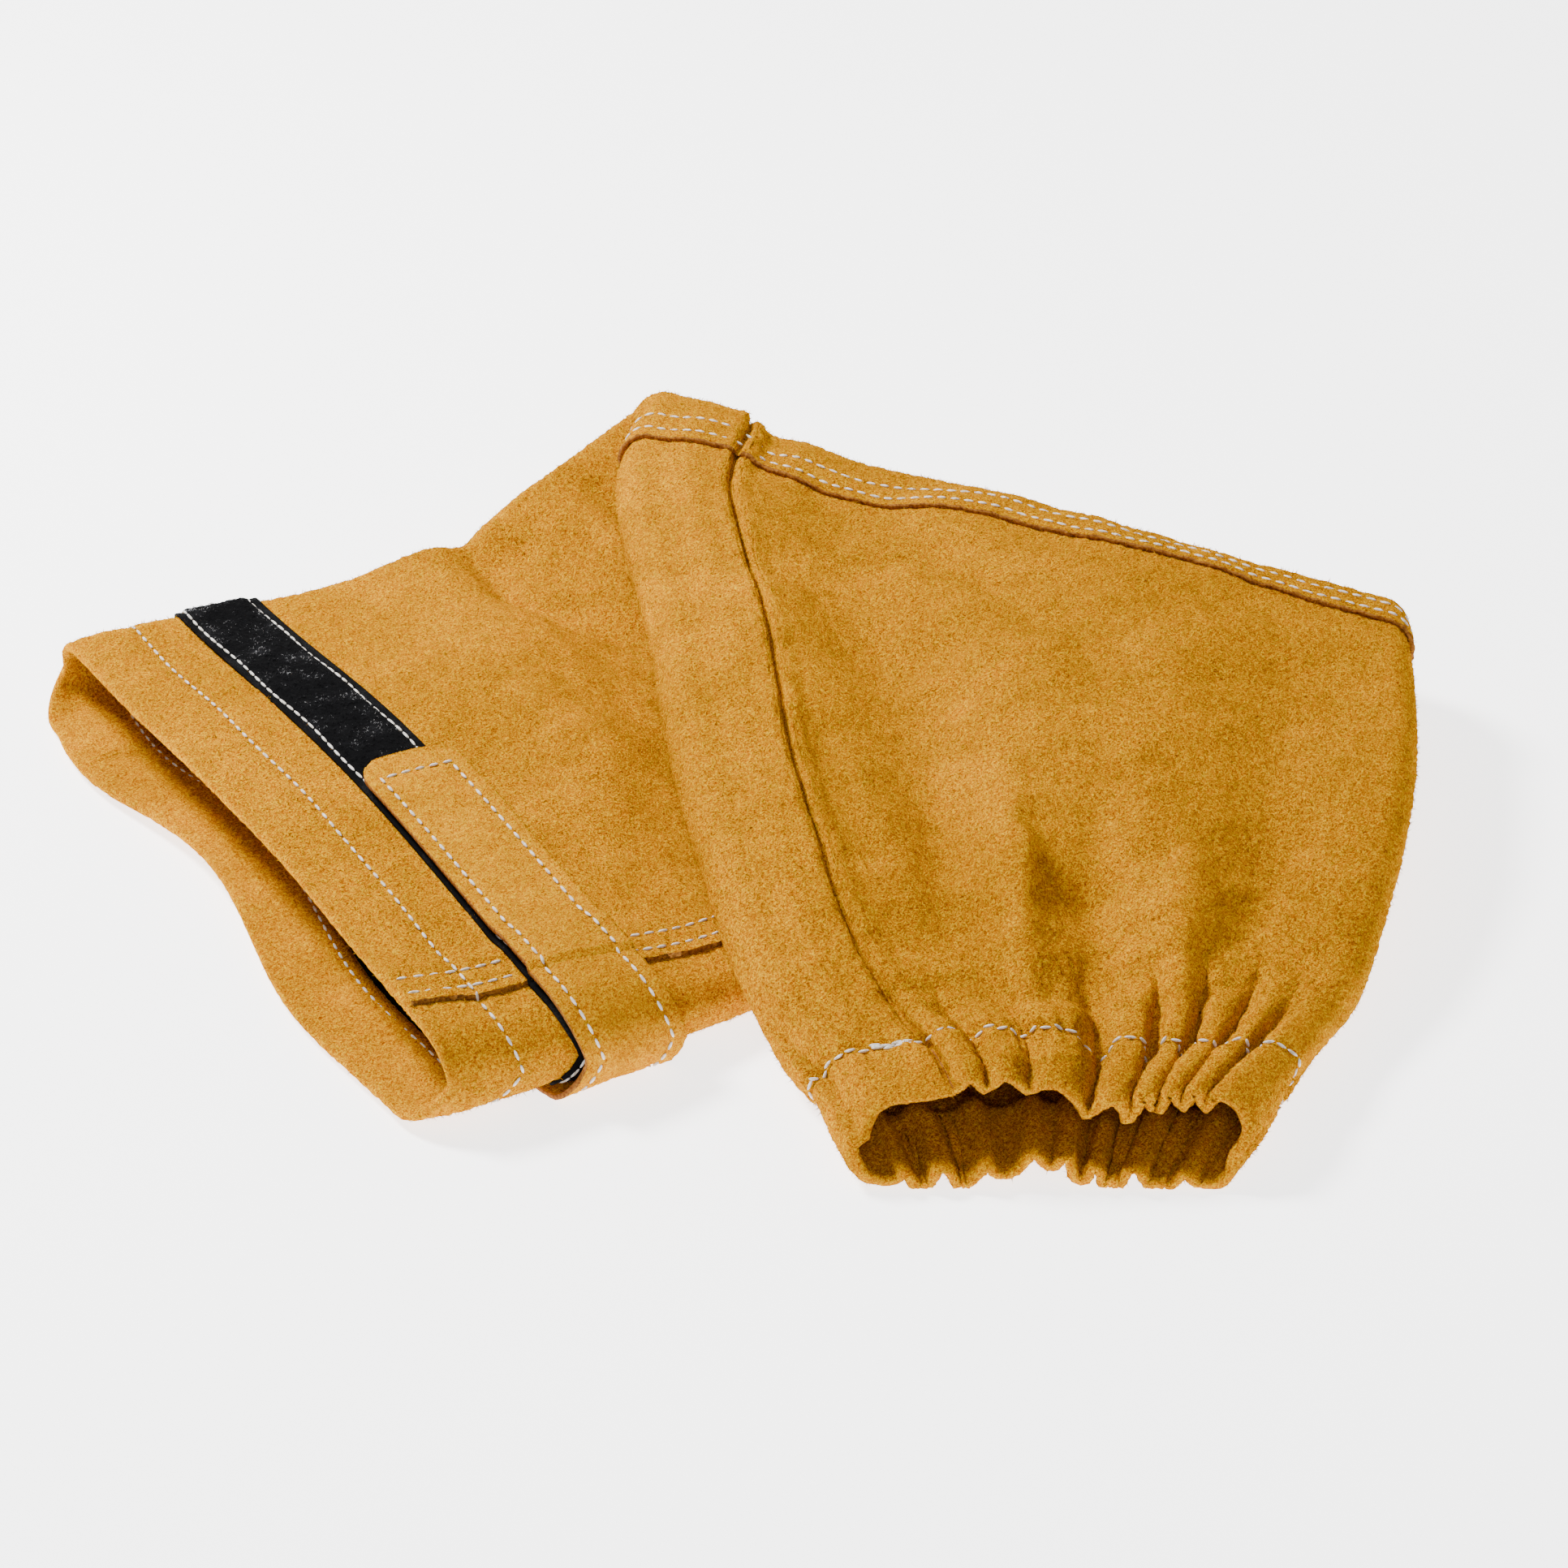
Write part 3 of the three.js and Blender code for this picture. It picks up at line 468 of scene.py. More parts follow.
def shell(profile, columns, relief):
    """Closed shell from a closed profile of (v, offset, axial, material), swept round the sleeve. Where
    its relief would reach below the floor, both faces of the wall are raised alike."""
    rings = []
    for v, offset, axial, side, _ in profile:
        vs = np.full(len(columns), float(v))
        point, normal, travel = surface(vs, columns)
        grow = relief(vs, columns, side)
        ring = point + normal * (offset + grow)[:, None] + travel * axial
        lowest = (point + normal * (LEATHER / 2 + relief(vs, columns, "out"))[:, None])[:, 2]
        ring[:, 2] += np.maximum(0, FLOOR_GAP - lowest)
        rings.append(ring)
    points = np.array(rings) + place_shift
    count, wide = points.shape[:2]
    r, c = np.meshgrid(np.arange(count), np.arange(wide), indexing="ij")
    r2, c2 = (r + 1) % count, (c + 1) % wide
    faces = np.stack((r * wide + c, r * wide + c2, r2 * wide + c2, r2 * wide + c), axis=-1)
    materials = np.repeat([row[4] for row in profile], wide)
    return points.reshape(-1, 3), faces.reshape(-1, 4), materials


def add_mesh(name, points, faces, materials, slots):
    mesh = bpy.data.meshes.new(name)
    mesh.from_pydata(np.asarray(points).tolist(), [], [list(map(int, f)) for f in faces])
    mesh.update()
    for material in slots:
        mesh.materials.append(material)
    mesh.polygons.foreach_set("material_index", np.asarray(materials, dtype=np.int32))
    mesh.polygons.foreach_set("use_smooth", np.ones(len(mesh.polygons), dtype=bool))
    piece = bpy.data.objects.new(name, mesh)
    bpy.context.scene.collection.objects.link(piece)
    return piece


def linear(hex_colour):
    """Linear colour of an sRGB hex value."""
    parts = [int(hex_colour[i:i + 2], 16) / 255 for i in (1, 3, 5)]
    return tuple(p / 12.92 if p <= 0.04045 else ((p + 0.055) / 1.055) ** 2.4 for p in parts) + (1,)


def set_values(target, values):
    for key, value in values.items():
        target.inputs[key].default_value = value


def node(tree, kind, links=None, values=None, **settings):
    """One node with its settings, its fixed input values and its links."""
    new = tree.nodes.new(kind)
    for name, value in settings.items():
        setattr(new, name, value)
    set_values(new, values or {})
    for key, source in (links or {}).items():
        tree.links.new(source, new.inputs[key])
    return new


def new_material(name, values):
    """A material with the given values of its shader, and the place that its patterns follow."""
    material = bpy.data.materials.new(name)
    material.use_nodes = True
    shader = material.node_tree.nodes["Principled BSDF"]
    set_values(shader, values)
    place = node(material.node_tree, "ShaderNodeTexCoord").outputs["Object"]
    return material, material.node_tree, shader, place


def set_stops(colour, *stops):
    """Give a colour ramp its stops, each a place and an sRGB hex value."""
    ramp = colour.color_ramp
    for element, (place, shade) in zip(ramp.elements, (stops[0], stops[-1])):
        element.position, element.color = place, linear(shade)
    for place, shade in stops[1:-1]:
        ramp.elements.new(place).color = linear(shade)


def suede_material(name, deep, middle, pale, grain):
    """Split leather: a short brushed nap of about a millimetre, so no shine, a soft sheen at grazing
    angles, dark roots and pale tips, and patches where the nap lies another way."""
    material, tree, shader, place = new_material(name, {
        "Roughness": 0.95, "Specular IOR Level": 0.0, "Sheen Weight": 0.03, "Sheen Roughness": 0.55,
        "Sheen Tint": linear("#f4b040")})
    patches = node(tree, "ShaderNodeTexNoise", {"Vector": place},
                   {"Scale": 1 / (42 * MM), "Detail": 4.0, "Roughness": 0.55, "Distortion": 0.6})
    streaks = node(tree, "ShaderNodeTexNoise", {"Vector": place},
                   {"Scale": 1 / (7 * MM), "Detail": 3.0, "Roughness": 0.6})
    nap = node(tree, "ShaderNodeTexNoise", {"Vector": place},
               {"Scale": 1 / grain, "Detail": 5.0, "Roughness": 0.72, "Distortion": 0.3})
    fibres = node(tree, "ShaderNodeTexNoise", {"Vector": place},
                  {"Scale": 1 / (0.45 * MM), "Detail": 2.0, "Roughness": 0.7})
    tone = node(tree, "ShaderNodeMath", {0: nap.outputs["Fac"], 1: fibres.outputs["Fac"]},
                operation="ADD")
    tone = node(tree, "ShaderNodeMath", {0: tone.outputs[0]}, {1: 0.5}, operation="MULTIPLY")
    colour = node(tree, "ShaderNodeValToRGB", {"Fac": tone.outputs[0]})
    set_stops(colour, (0.38, deep), (0.5, middle), (0.6, pale))
    shade = node(tree, "ShaderNodeMapRange", {"Value": patches.outputs["Fac"]},
                 {"From Min": 0.34, "From Max": 0.66, "To Min": 0.78, "To Max": 1.06})
    shade_small = node(tree, "ShaderNodeMapRange", {"Value": streaks.outputs["Fac"]},
                       {"From Min": 0.3, "From Max": 0.7, "To Min": 0.88, "To Max": 1.07})
    shades = node(tree, "ShaderNodeMath", {0: shade.outputs[0], 1: shade_small.outputs[0]},
                  operation="MULTIPLY")
    mixed = node(tree, "ShaderNodeVectorMath", {0: colour.outputs["Color"], "Scale": shades.outputs[0]},
                 operation="SCALE")
    tree.links.new(mixed.outputs[0], shader.inputs["Base Color"])
    bump = node(tree, "ShaderNodeBump", {"Height": tone.outputs[0]}, {"Strength": 1.0, "Distance": 1.6 * MM})
    bump = node(tree, "ShaderNodeBump", {"Height": streaks.outputs["Fac"], "Normal": bump.outputs[0]},
                {"Strength": 0.3, "Distance": 0.8 * MM})
    tree.links.new(bump.outputs[0], shader.inputs["Normal"])
    return material


def plain_material(name, dark, light, grain, roughness):
    """A matt fibre surface with a fine uneven tone, for cut edges, for thread, and as the painted shadow
    line in seam grooves.
    """
    material, tree, shader, place = new_material(name, {"Roughness": roughness, "Specular IOR Level": 0.2})
    fine = node(tree, "ShaderNodeTexNoise", {"Vector": place}, {"Scale": 1 / grain, "Detail": 3.0})
    colour = node(tree, "ShaderNodeValToRGB", {"Fac": fine.outputs["Fac"]})
    set_stops(colour, (0.35, dark), (0.65, light))
    tree.links.new(colour.outputs["Color"], shader.inputs["Base Color"])
    bump = node(tree, "ShaderNodeBump", {"Height": fine.outputs["Fac"]},
                {"Strength": 0.6, "Distance": 0.3 * MM})
    tree.links.new(bump.outputs[0], shader.inputs["Normal"])
    return material


def set_inputs(modifier, tree, values):
    for item in tree.interface.items_tree:
        if item.item_type == "SOCKET" and item.in_out == "INPUT" and item.name in values:
            modifier[item.identifier] = values[item.name]


def grown(name, seed, tree, values):
    """A plain mesh made by a Geometry Nodes tree from a mesh that carries its attributes."""
    piece = bpy.data.objects.new(name, seed)
    bpy.context.scene.collection.objects.link(piece)
    modifier = piece.modifiers.new("grow", "NODES")
    modifier.node_group = tree
    set_inputs(modifier, tree, values)
    depsgraph = bpy.context.evaluated_depsgraph_get()
    mesh = bpy.data.meshes.new_from_object(piece.evaluated_get(depsgraph))
    piece.modifiers.remove(modifier)
    piece.data = mesh
    mesh.name = name
    bpy.data.meshes.remove(seed)
    return piece


def new_tree(name, floats):
    """Geometry Nodes group with a mesh, the named numbers, a seed and a material as its inputs."""
    tree = bpy.data.node_groups.new(name, "GeometryNodeTree")
    add = tree.interface.new_socket
    add("Geometry", in_out="INPUT", socket_type="NodeSocketGeometry")
    for label in floats:
        add(label, in_out="INPUT", socket_type="NodeSocketFloat")
    add("Seed", in_out="INPUT", socket_type="NodeSocketInt")
    add("Material", in_out="INPUT", socket_type="NodeSocketMaterial")
    add("Geometry", in_out="OUTPUT", socket_type="NodeSocketGeometry")
    return tree, tree.nodes.new("NodeGroupInput").outputs


def end_tree(tree, instances, material):
    """Turn the instances into a smooth plain mesh with its material, and send it out."""
    whole = node(tree, "GeometryNodeRealizeInstances", {"Geometry": instances})
    smooth = node(tree, "GeometryNodeSetShadeSmooth", {0: whole.outputs[0]})
    painted = node(tree, "GeometryNodeSetMaterial", {"Geometry": smooth.outputs[0], "Material": material})
    tree.links.new(painted.outputs[0], tree.nodes.new("NodeGroupOutput").inputs[0])


def scatter_tree(name, make_shape):
    """Geometry Nodes: a small shape on random points of the surface where its nap attribute says so,
    leaning every way, of uneven size."""
    tree, source = new_tree(name, ("Density", "Length", "Radius", "Lean"))
    where = node(tree, "GeometryNodeInputNamedAttribute", values={"Name": "nap"}, data_type="FLOAT")
    density = node(tree, "ShaderNodeMath", {0: where.outputs["Attribute"], 1: source["Density"]},
                   operation="MULTIPLY")
    spots = node(tree, "GeometryNodeDistributePointsOnFaces",
                 {"Mesh": source["Geometry"], "Density": density.outputs[0], "Seed": source["Seed"]})
    less = node(tree, "ShaderNodeMath", {0: source["Lean"]}, {1: -1.0}, operation="MULTIPLY")
    low = node(tree, "ShaderNodeCombineXYZ", {"X": less.outputs[0], "Y": less.outputs[0]}, {"Z": -math.pi})
    high = node(tree, "ShaderNodeCombineXYZ", {"X": source["Lean"], "Y": source["Lean"]}, {"Z": math.pi})
    lean = node(tree, "FunctionNodeRandomValue",
                {0: low.outputs[0], 1: high.outputs[0], "Seed": source["Seed"]}, data_type="FLOAT_VECTOR")
    lean = node(tree, "FunctionNodeEulerToRotation", {0: lean.outputs[0]})
    turned = node(tree, "FunctionNodeRotateRotation",
                  {"Rotation": spots.outputs["Rotation"], "Rotate By": lean.outputs[0]},
                  rotation_space="LOCAL")
    size = node(tree, "FunctionNodeRandomValue", {"Seed": source["Seed"]}, {2: 0.5, 3: 1.0},
                data_type="FLOAT")
    laid = node(tree, "GeometryNodeInstanceOnPoints",
                {"Points": spots.outputs["Points"], "Instance": make_shape(tree, source),
                 "Rotation": turned.outputs[0], "Scale": size.outputs[1]})
    end_tree(tree, laid.outputs[0], source["Material"])
    return tree


def fibre_shape(tree, source):
    cone = node(tree, "GeometryNodeMeshCone",
                {"Radius Bottom": source["Radius"], "Depth": source["Length"]},
                {"Vertices": 3, "Side Segments": 1, "Radius Top": 0.0}, fill_type="NONE")
    return cone.outputs["Mesh"]


def seed_of(piece, amount):
    """Copy of a piece's mesh that says at each point how much nap or pile grows there."""
    mesh = piece.data.copy()
    layer = mesh.attributes.new("nap", "FLOAT", "POINT")
    layer.data.foreach_set("value", amount.astype(np.float32))
    return mesh


golden_suede = suede_material("golden_split_suede", "#a04c00", "#d98a00", "#ffc600", 0.85 * MM)
# Its dark brown serves the cut edges and is also laid along the middle of each seam groove as a painted
# shadow line.
cut_edge_and_groove_shadow = plain_material("cut_leather_edge_and_groove_shadow", "#6a3a0c", "#a06a28", 0.8 * MM, 0.9)


def nap_noise(count):
    return rng.uniform(-NAP, NAP, count)


def upper_relief(v, p, side):
    if side == "in":
        return unevenness(v, p) + nap_noise(len(p))
    row = -0.55 * MM * pinch(v - HEM_STITCH)
    puff = 0.45 * MM * np.sin(np.pi * np.clip(v / HEM_STITCH, 0, 1)) ** 2
    lap = lap_lift(v, p)
    across = from_lap_edge(v, p)
    rows = -0.4 * MM * sum(pinch(across - place) for place in SEWING_ROWS) * (v < FOLD_STATION)
    end_rows = -0.4 * MM * sum(pinch(v - (SEAM_STATION - place)) for place in SEWING_ROWS)
    seam = plain_seam_relief(v, p) * smoothstep(v, FOLD_STATION - 60 * MM, FOLD_STATION - 20 * MM)
    return (unevenness(v, p) + nap_noise(len(p)) + row + puff + lap + rows + end_rows
            + seam_lift(v) + seam)


def turned_edge(v, start, end, axial_sign, steps=7):
    """Half circle of profile points round a turned edge, from one offset to the other."""
    middle, radius = (start + end) / 2, (start - end) / 2
    angles = np.linspace(np.pi / 2, -np.pi / 2, steps)[1:-1]
    return [(v, middle + radius * math.sin(a), axial_sign * abs(radius) * math.cos(a), "in", 0)
            for a in angles]


OUTER_ROWS = 215
INNER_ROWS = 34
FOLD_ROWS = 0.88 * OUTER_ROWS
CUT_SHARE = 0.0005
ROW_GAP = 0.1 * MM
outer_rows = [(v, LEATHER / 2, 0, "out", 0) for v in np.linspace(0, SEAM_STATION, OUTER_ROWS)]
hem_inside = [(v, HEM_OFFSET, 0, "in", 0) for v in np.linspace(CUFF_HEM, 0, 8)]
inside = [(v, -LEATHER / 2 + float(seam_lift(v)), 0, "in", 0)
          for v in np.linspace(SEAM_STATION, CUFF_HEM + ROW_GAP, INNER_ROWS)]
outer_rows[-1] = outer_rows[-1][:4] + (1,)
inside[-1] = inside[-1][:4] + (1,)
upper_profile = outer_rows + inside + hem_inside + turned_edge(0, HEM_OFFSET, LEATHER / 2, -1)

lap_edge = in_share(LAP_SEAM)
groove = out_share(PLAIN_SEAM)
groove_columns = clustered(groove, 0.006, 20)
upper_columns = np.sort(np.concatenate((round_columns(330), clustered(lap_edge, 0.0006, 4), groove_columns)))
points, faces, materials = shell(upper_profile, upper_columns, upper_relief)
on_lap_edge = np.abs(upper_columns - lap_edge) < CUT_SHARE
wide = len(upper_columns)
column_of_face = np.tile(np.arange(wide), len(upper_profile))
row_of_face = np.repeat(np.arange(len(upper_profile)), wide)
materials = np.where(on_lap_edge[column_of_face] & (row_of_face < OUTER_ROWS), 1, materials)
# The faces along the middle of the plain seam's groove, past the fold, take the cut edge's dark brown: a
# painted shadow line in the groove.
groove_shadow_faces = np.abs(upper_columns - groove) < CUT_SHARE
past_fold = (row_of_face > FOLD_ROWS) & (row_of_face < OUTER_ROWS - 1)
materials = np.where(groove_shadow_faces[column_of_face] & past_fold, 1, materials)
upper_panel = add_mesh("upper_arm_suede", points, faces, materials, (golden_suede, cut_edge_and_groove_shadow))
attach(upper_panel, "root")
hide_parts("upper_arm_panel")

# Standing nap: loose tufts of fibre up to 1.7 mm long that lean over by up to 70 degrees, many outside, a
# few inside and none where the sleeve rests. Each is thicker than a single fibre, so that the nap shows.
NAP_DENSITY = 0.36 / MM**2
NAP_LENGTH = 1.7 * MM
NAP_RADIUS = 0.13 * MM
NAP_INSIDE = 0.08
NAP_LOWEST = 1.2 * MM
nap_fibres = scatter_tree("nap_fibres", fibre_shape)


def add_nap(name, panel, profile, wide, suede):
    heights = np.empty(len(panel.data.vertices) * 3)
    panel.data.vertices.foreach_get("co", heights)
    amount = np.where(np.repeat([row[3] for row in profile], wide) == "out", 1.0, NAP_INSIDE)
    amount = np.where(heights[2::3] < NAP_LOWEST, 0, amount)
    nap = grown(name, seed_of(panel, amount), nap_fibres,
                {"Density": NAP_DENSITY, "Length": NAP_LENGTH, "Radius": NAP_RADIUS,
                 "Lean": math.radians(70), "Seed": 11, "Material": suede})
    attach(nap, "root")


add_nap("upper_arm_nap", upper_panel, upper_profile, wide, golden_suede)

# Forearm panel
# The second piece of the same suede, closed by a plain seam sewn inside out, so only a groove shows.
# Its wrist end is turned in over an elastic and sewn down, which gathers it into ruffles.
GATHER_START = SLEEVE_END - 3 * CASING


def wrist_ruffles(v, p):
    """Sharper creases and fine puckers where the elastic's stitches draw the suede together."""
    row = pinch(SLEEVE_END - v - CASING, 8 * MM)
    puckers = np.sin(2 * np.pi * 53 * p + 3 * np.sin(12 * np.pi * p))
    return 0.4 * gather_height(v, p) + 0.45 * MM * row * puckers


def forearm_relief(v, p, side):
    if side == "in":
        return unevenness(v, p) + nap_noise(len(p))
    from_end = SLEEVE_END - v
    row = -1.1 * MM * pinch(from_end - CASING, 1.7 * MM)
    puff = 0.9 * MM * np.sin(np.pi * np.clip(from_end / CASING, 0, 1)) ** 2
    return (unevenness(v, p) + nap_noise(len(p)) + row + puff + plain_seam_relief(v, p)
            + wrist_ruffles(v, p))


body_rows = np.linspace(LAP_START, GATHER_START, 110, endpoint=False)
gather_rows = np.linspace(GATHER_START, SLEEVE_END, 82)
outer = [(v, LEATHER / 2, 0, "out", 0) for v in np.concatenate((body_rows, gather_rows))]
casing_inside = [(v, HEM_OFFSET, 0, "in", 0) for v in np.linspace(SLEEVE_END, SLEEVE_END - CASING, 14)]
inside = [(v, -LEATHER / 2, 0, "in", 0)
          for v in np.linspace(SLEEVE_END - CASING - ROW_GAP, LAP_START, 28)]
forearm_profile = outer + turned_edge(SLEEVE_END, LEATHER / 2, HEM_OFFSET, 1) + casing_inside + inside
forearm_columns = np.sort(np.concatenate((round_columns(390), groove_columns)))
points, faces, materials = shell(forearm_profile, forearm_columns, forearm_relief)
wide = len(forearm_columns)
# The faces along the middle of the seam's groove on the outside take the cut edge's dark brown: a painted
# shadow line in the groove.
groove_shadow_faces = np.tile(np.abs(forearm_columns - groove) < CUT_SHARE, len(forearm_profile))
materials = np.where(groove_shadow_faces & (np.arange(len(groove_shadow_faces)) < wide * (len(outer) - 1)), 1, materials)
forearm_panel = add_mesh("forearm_suede", points, faces, materials, (golden_suede, cut_edge_and_groove_shadow))
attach(forearm_panel, "root")
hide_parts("forearm_panel")
add_nap("forearm_nap", forearm_panel, forearm_profile, wide, golden_suede)

# Loop tape
# A woven black tape with a looped pile and two plain selvedges, sewn round the outside of the cuff with
# a row of thread inside each selvedge. Grey lint from wear sits in its loops.
SELVEDGE = 2.2 * MM
TAPE_ROW = 2.6 * MM
TAPE_ROWS = 34
TAPE_COLUMNS = 520


def patch(rows, columns, low, high, outer, inner, edge_material, wraps=False, relief=None):
    """Closed strip on the sleeve between two skins; low and high give its edges for each column."""
    columns = np.asarray(columns)
    skins = []
    for offset in (outer, inner):
        skin = []
        for share in rows:
            v = low(columns) + (high(columns) - low(columns)) * share
            point, normal, _ = surface(v, columns)
            grow = relief(v, columns, share) if relief and offset is outer else 0
            skin.append(point + normal * (offset(v, columns) + grow)[:, None])
        skins.append(np.array(skin) + place_shift)
    count, wide = len(rows), len(columns)
    points = np.concatenate([skin.reshape(-1, 3) for skin in skins])
    r, c = np.meshgrid(np.arange(count - 1), np.arange(wide if wraps else wide - 1), indexing="ij")
    r, c = r.ravel(), c.ravel()
    d = (c + 1) % wide
    top = np.stack((r * wide + c, r * wide + d, (r + 1) * wide + d, (r + 1) * wide + c), axis=1)
    base = count * wide
    bottom = np.stack((r * wide + c, (r + 1) * wide + c, (r + 1) * wide + d, r * wide + d), axis=1) + base
    faces = [top, bottom]
    c = np.arange(wide if wraps else wide - 1)
    d = (c + 1) % wide
    last = (count - 1) * wide
    faces.append(np.stack((c, base + c, base + d, d), axis=1))
    faces.append(np.stack((last + c, last + d, base + last + d, base + last + c), axis=1))
    if not wraps:
        r = np.arange(count - 1)
        end = wide - 1
        faces.append(np.stack((r * wide, (r + 1) * wide, base + (r + 1) * wide, base + r * wide), axis=1))
        faces.append(np.stack((r * wide + end, base + r * wide + end, base + (r + 1) * wide + end,
                               (r + 1) * wide + end), axis=1))
    sides = sum(len(group) for group in faces[2:])
    materials = np.concatenate((np.zeros(len(top) + len(bottom)), np.full(sides, edge_material)))
    return points, np.concatenate(faces), materials


def constant(value):
    return lambda columns: np.full(len(columns), float(value))


def tape_inner(v, p):
    return LEATHER / 2 + CLEARANCE + lap_lift(v, p)


def tape_outer(v, p):
    return tape_inner(v, p) + TAPE_THICKNESS


def tape_relief(v, p, share):
    from_edge = np.minimum(v - TAPE_SETBACK, TAPE_END - v)
    pile = smoothstep(from_edge, SELVEDGE, SELVEDGE + 1.2 * MM)
    return (-0.75 * MM * (1 - pile) - 0.3 * MM * pinch(from_edge - TAPE_ROW, 0.7 * MM)
            + pile * rng.uniform(-0.35 * MM, 0.15 * MM, len(p)))


def tape_material(name, base, loops, lint, grain):
    """Black polyamide tape: matt, with a fine pile and grey lint lying in soft patches."""
    material, tree, shader, place = new_material(name, {"Roughness": 0.9, "Specular IOR Level": 0.08})
    patches = node(tree, "ShaderNodeTexNoise", {"Vector": place},
                   {"Scale": 1 / (9 * MM), "Detail": 4.0, "Roughness": 0.6})
    fine = node(tree, "ShaderNodeTexNoise", {"Vector": place},
                {"Scale": 1 / grain, "Detail": 4.0, "Roughness": 0.7})
    tone = node(tree, "ShaderNodeMath", {0: patches.outputs["Fac"], 1: fine.outputs["Fac"]},
                operation="MULTIPLY")
    colour = node(tree, "ShaderNodeValToRGB", {"Fac": tone.outputs[0]})
    set_stops(colour, (0.16, base), (0.28, loops), (0.37, lint))
    tree.links.new(colour.outputs["Color"], shader.inputs["Base Color"])
    bump = node(tree, "ShaderNodeBump", {"Height": fine.outputs["Fac"]},
                {"Strength": 0.8, "Distance": 0.5 * MM})
    tree.links.new(bump.outputs[0], shader.inputs["Normal"])
    return material


black_tape = tape_material("black_loop_tape", "#020203", "#060607", "#1a1a1c", 0.5 * MM)
points, faces, materials = patch(
    np.linspace(0, 1, TAPE_ROWS), round_columns(TAPE_COLUMNS), constant(TAPE_SETBACK), constant(TAPE_END),
    tape_outer, tape_inner, 0, wraps=True, relief=tape_relief)
tape_heights = points[:, 2]
loop_tape = add_mesh("loop_tape_weave", points, faces, materials, (black_tape,))
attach(loop_tape, "root")
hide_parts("loop_tape")

# Pile: open loops of fine black yarn, about one millimetre across, crowded between the two selvedges, the
# yarn drawn a little thicker and the loops fewer than on the real tape, so that they show
LOOP_DENSITY = 0.54 / MM**2
LOOP_WIDTH = 1.0 * MM
YARN_RADIUS = 0.1 * MM
PILE_LOWEST = 3 * MM


def loop_shape(tree, source):
    arc = node(tree, "GeometryNodeCurveArc", {"Radius": source["Length"]},
               {"Resolution": 6, "Start Angle": math.radians(-50), "Sweep Angle": math.radians(280)},
               mode="RADIUS")
    yarn = node(tree, "GeometryNodeCurvePrimitiveCircle", {"Radius": source["Radius"]},
                {"Resolution": 3}, mode="RADIUS")
    loop = node(tree, "GeometryNodeCurveToMesh", {"Curve": arc.outputs["Curve"],
                                                  "Profile Curve": yarn.outputs["Curve"]})
    stood = node(tree, "GeometryNodeTransform", {"Geometry": loop.outputs["Mesh"]},
                 {"Rotation": (math.pi / 2, 0, 0)})
    return stood.outputs["Geometry"]


pile_yarn = tape_material("black_loop_yarn", "#08080a", "#222224", "#b4b4b4", 0.8 * MM)
row_numbers = np.arange(TAPE_ROWS)
from_edge = np.minimum(row_numbers, row_numbers[::-1]) * TAPE_WIDTH / (TAPE_ROWS - 1)
pile_rows = np.concatenate(((from_edge > SELVEDGE + 1 * MM) * 1.0, np.zeros(TAPE_ROWS)))
pile_amount = np.repeat(pile_rows, TAPE_COLUMNS)
pile_amount[tape_heights < PILE_LOWEST] = 0
pile = grown("loop_tape_pile", seed_of(loop_tape, pile_amount), scatter_tree("pile_loops", loop_shape),
             {"Density": LOOP_DENSITY, "Length": LOOP_WIDTH / 2, "Radius": YARN_RADIUS,
              "Lean": math.radians(35), "Seed": 5, "Material": pile_yarn})
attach(pile, "root")

# Strap and hook tape
# A tab of the same suede, paler where it rubs, with rounded corners and a row of thread all round. It is
# sewn under the cuff's near side, comes over the edge, and grips the loop tape with hooks beneath it.
STRAP_MIDDLE = (STRAP_START + STRAP_END) / 2
TAPE_LAYER = float(layer_width(STRAP_MIDDLE)[0])
free_end = in_share(1 - STRAP_REACH / TAPE_LAYER)
sewn_end = out_share(1 - STRAP_UNDER / TAPE_LAYER)


def strap_trim(p):
    from_end = np.clip((p - free_end) * TAPE_LAYER / LAYER_SHARE / STRAP_CORNER, 0, 1)
    return STRAP_CORNER * (1 - np.sqrt(np.maximum(0, 1 - (1 - from_end) ** 2)))


def hook_inner(v, p):
    return tape_outer(v, p) + CLEARANCE


def hook_outer(v, p):
    return hook_inner(v, p) + HOOK_THICKNESS


def strap_inner(v, p):
    return hook_outer(v, p) + CLEARANCE


def strap_outer(v, p):
    return strap_inner(v, p) + LEATHER


STRAP_ROW = 4.5 * MM


def strap_relief(v, p, share):
    from_side = np.minimum(v - STRAP_START, STRAP_END - v)
    from_free = (p - free_end) * TAPE_LAYER / LAYER_SHARE
    row = np.maximum(pinch(from_side - STRAP_ROW), pinch(from_free - 2 * STRAP_ROW)
                     * (from_side > STRAP_ROW))
    return 0.35 * MM * soft_waves(v * 3, p * 2) - 0.45 * MM * row + nap_noise(len(p)) * 0.8


pale_suede = suede_material("pale_split_suede", "#ae5800", "#e39400", "#ffc40c", 1.0 * MM)
corner = STRAP_CORNER * LAYER_SHARE / TAPE_LAYER
strap_columns = np.concatenate((
    free_end + corner * (1 - np.cos(np.linspace(0, np.pi / 2, 16))),
    np.linspace(free_end + corner, sewn_end, 170)[1:],
))
points, faces, materials = patch(
    np.linspace(0, 1, 40), strap_columns,
    lambda p: STRAP_START + strap_trim(p), lambda p: STRAP_END - strap_trim(p),
    strap_outer, strap_inner, 1, relief=strap_relief)
strap = add_mesh("strap_suede", points, faces, materials, (pale_suede, cut_edge_and_groove_shadow))
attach(strap, "root")
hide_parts("strap_tab")

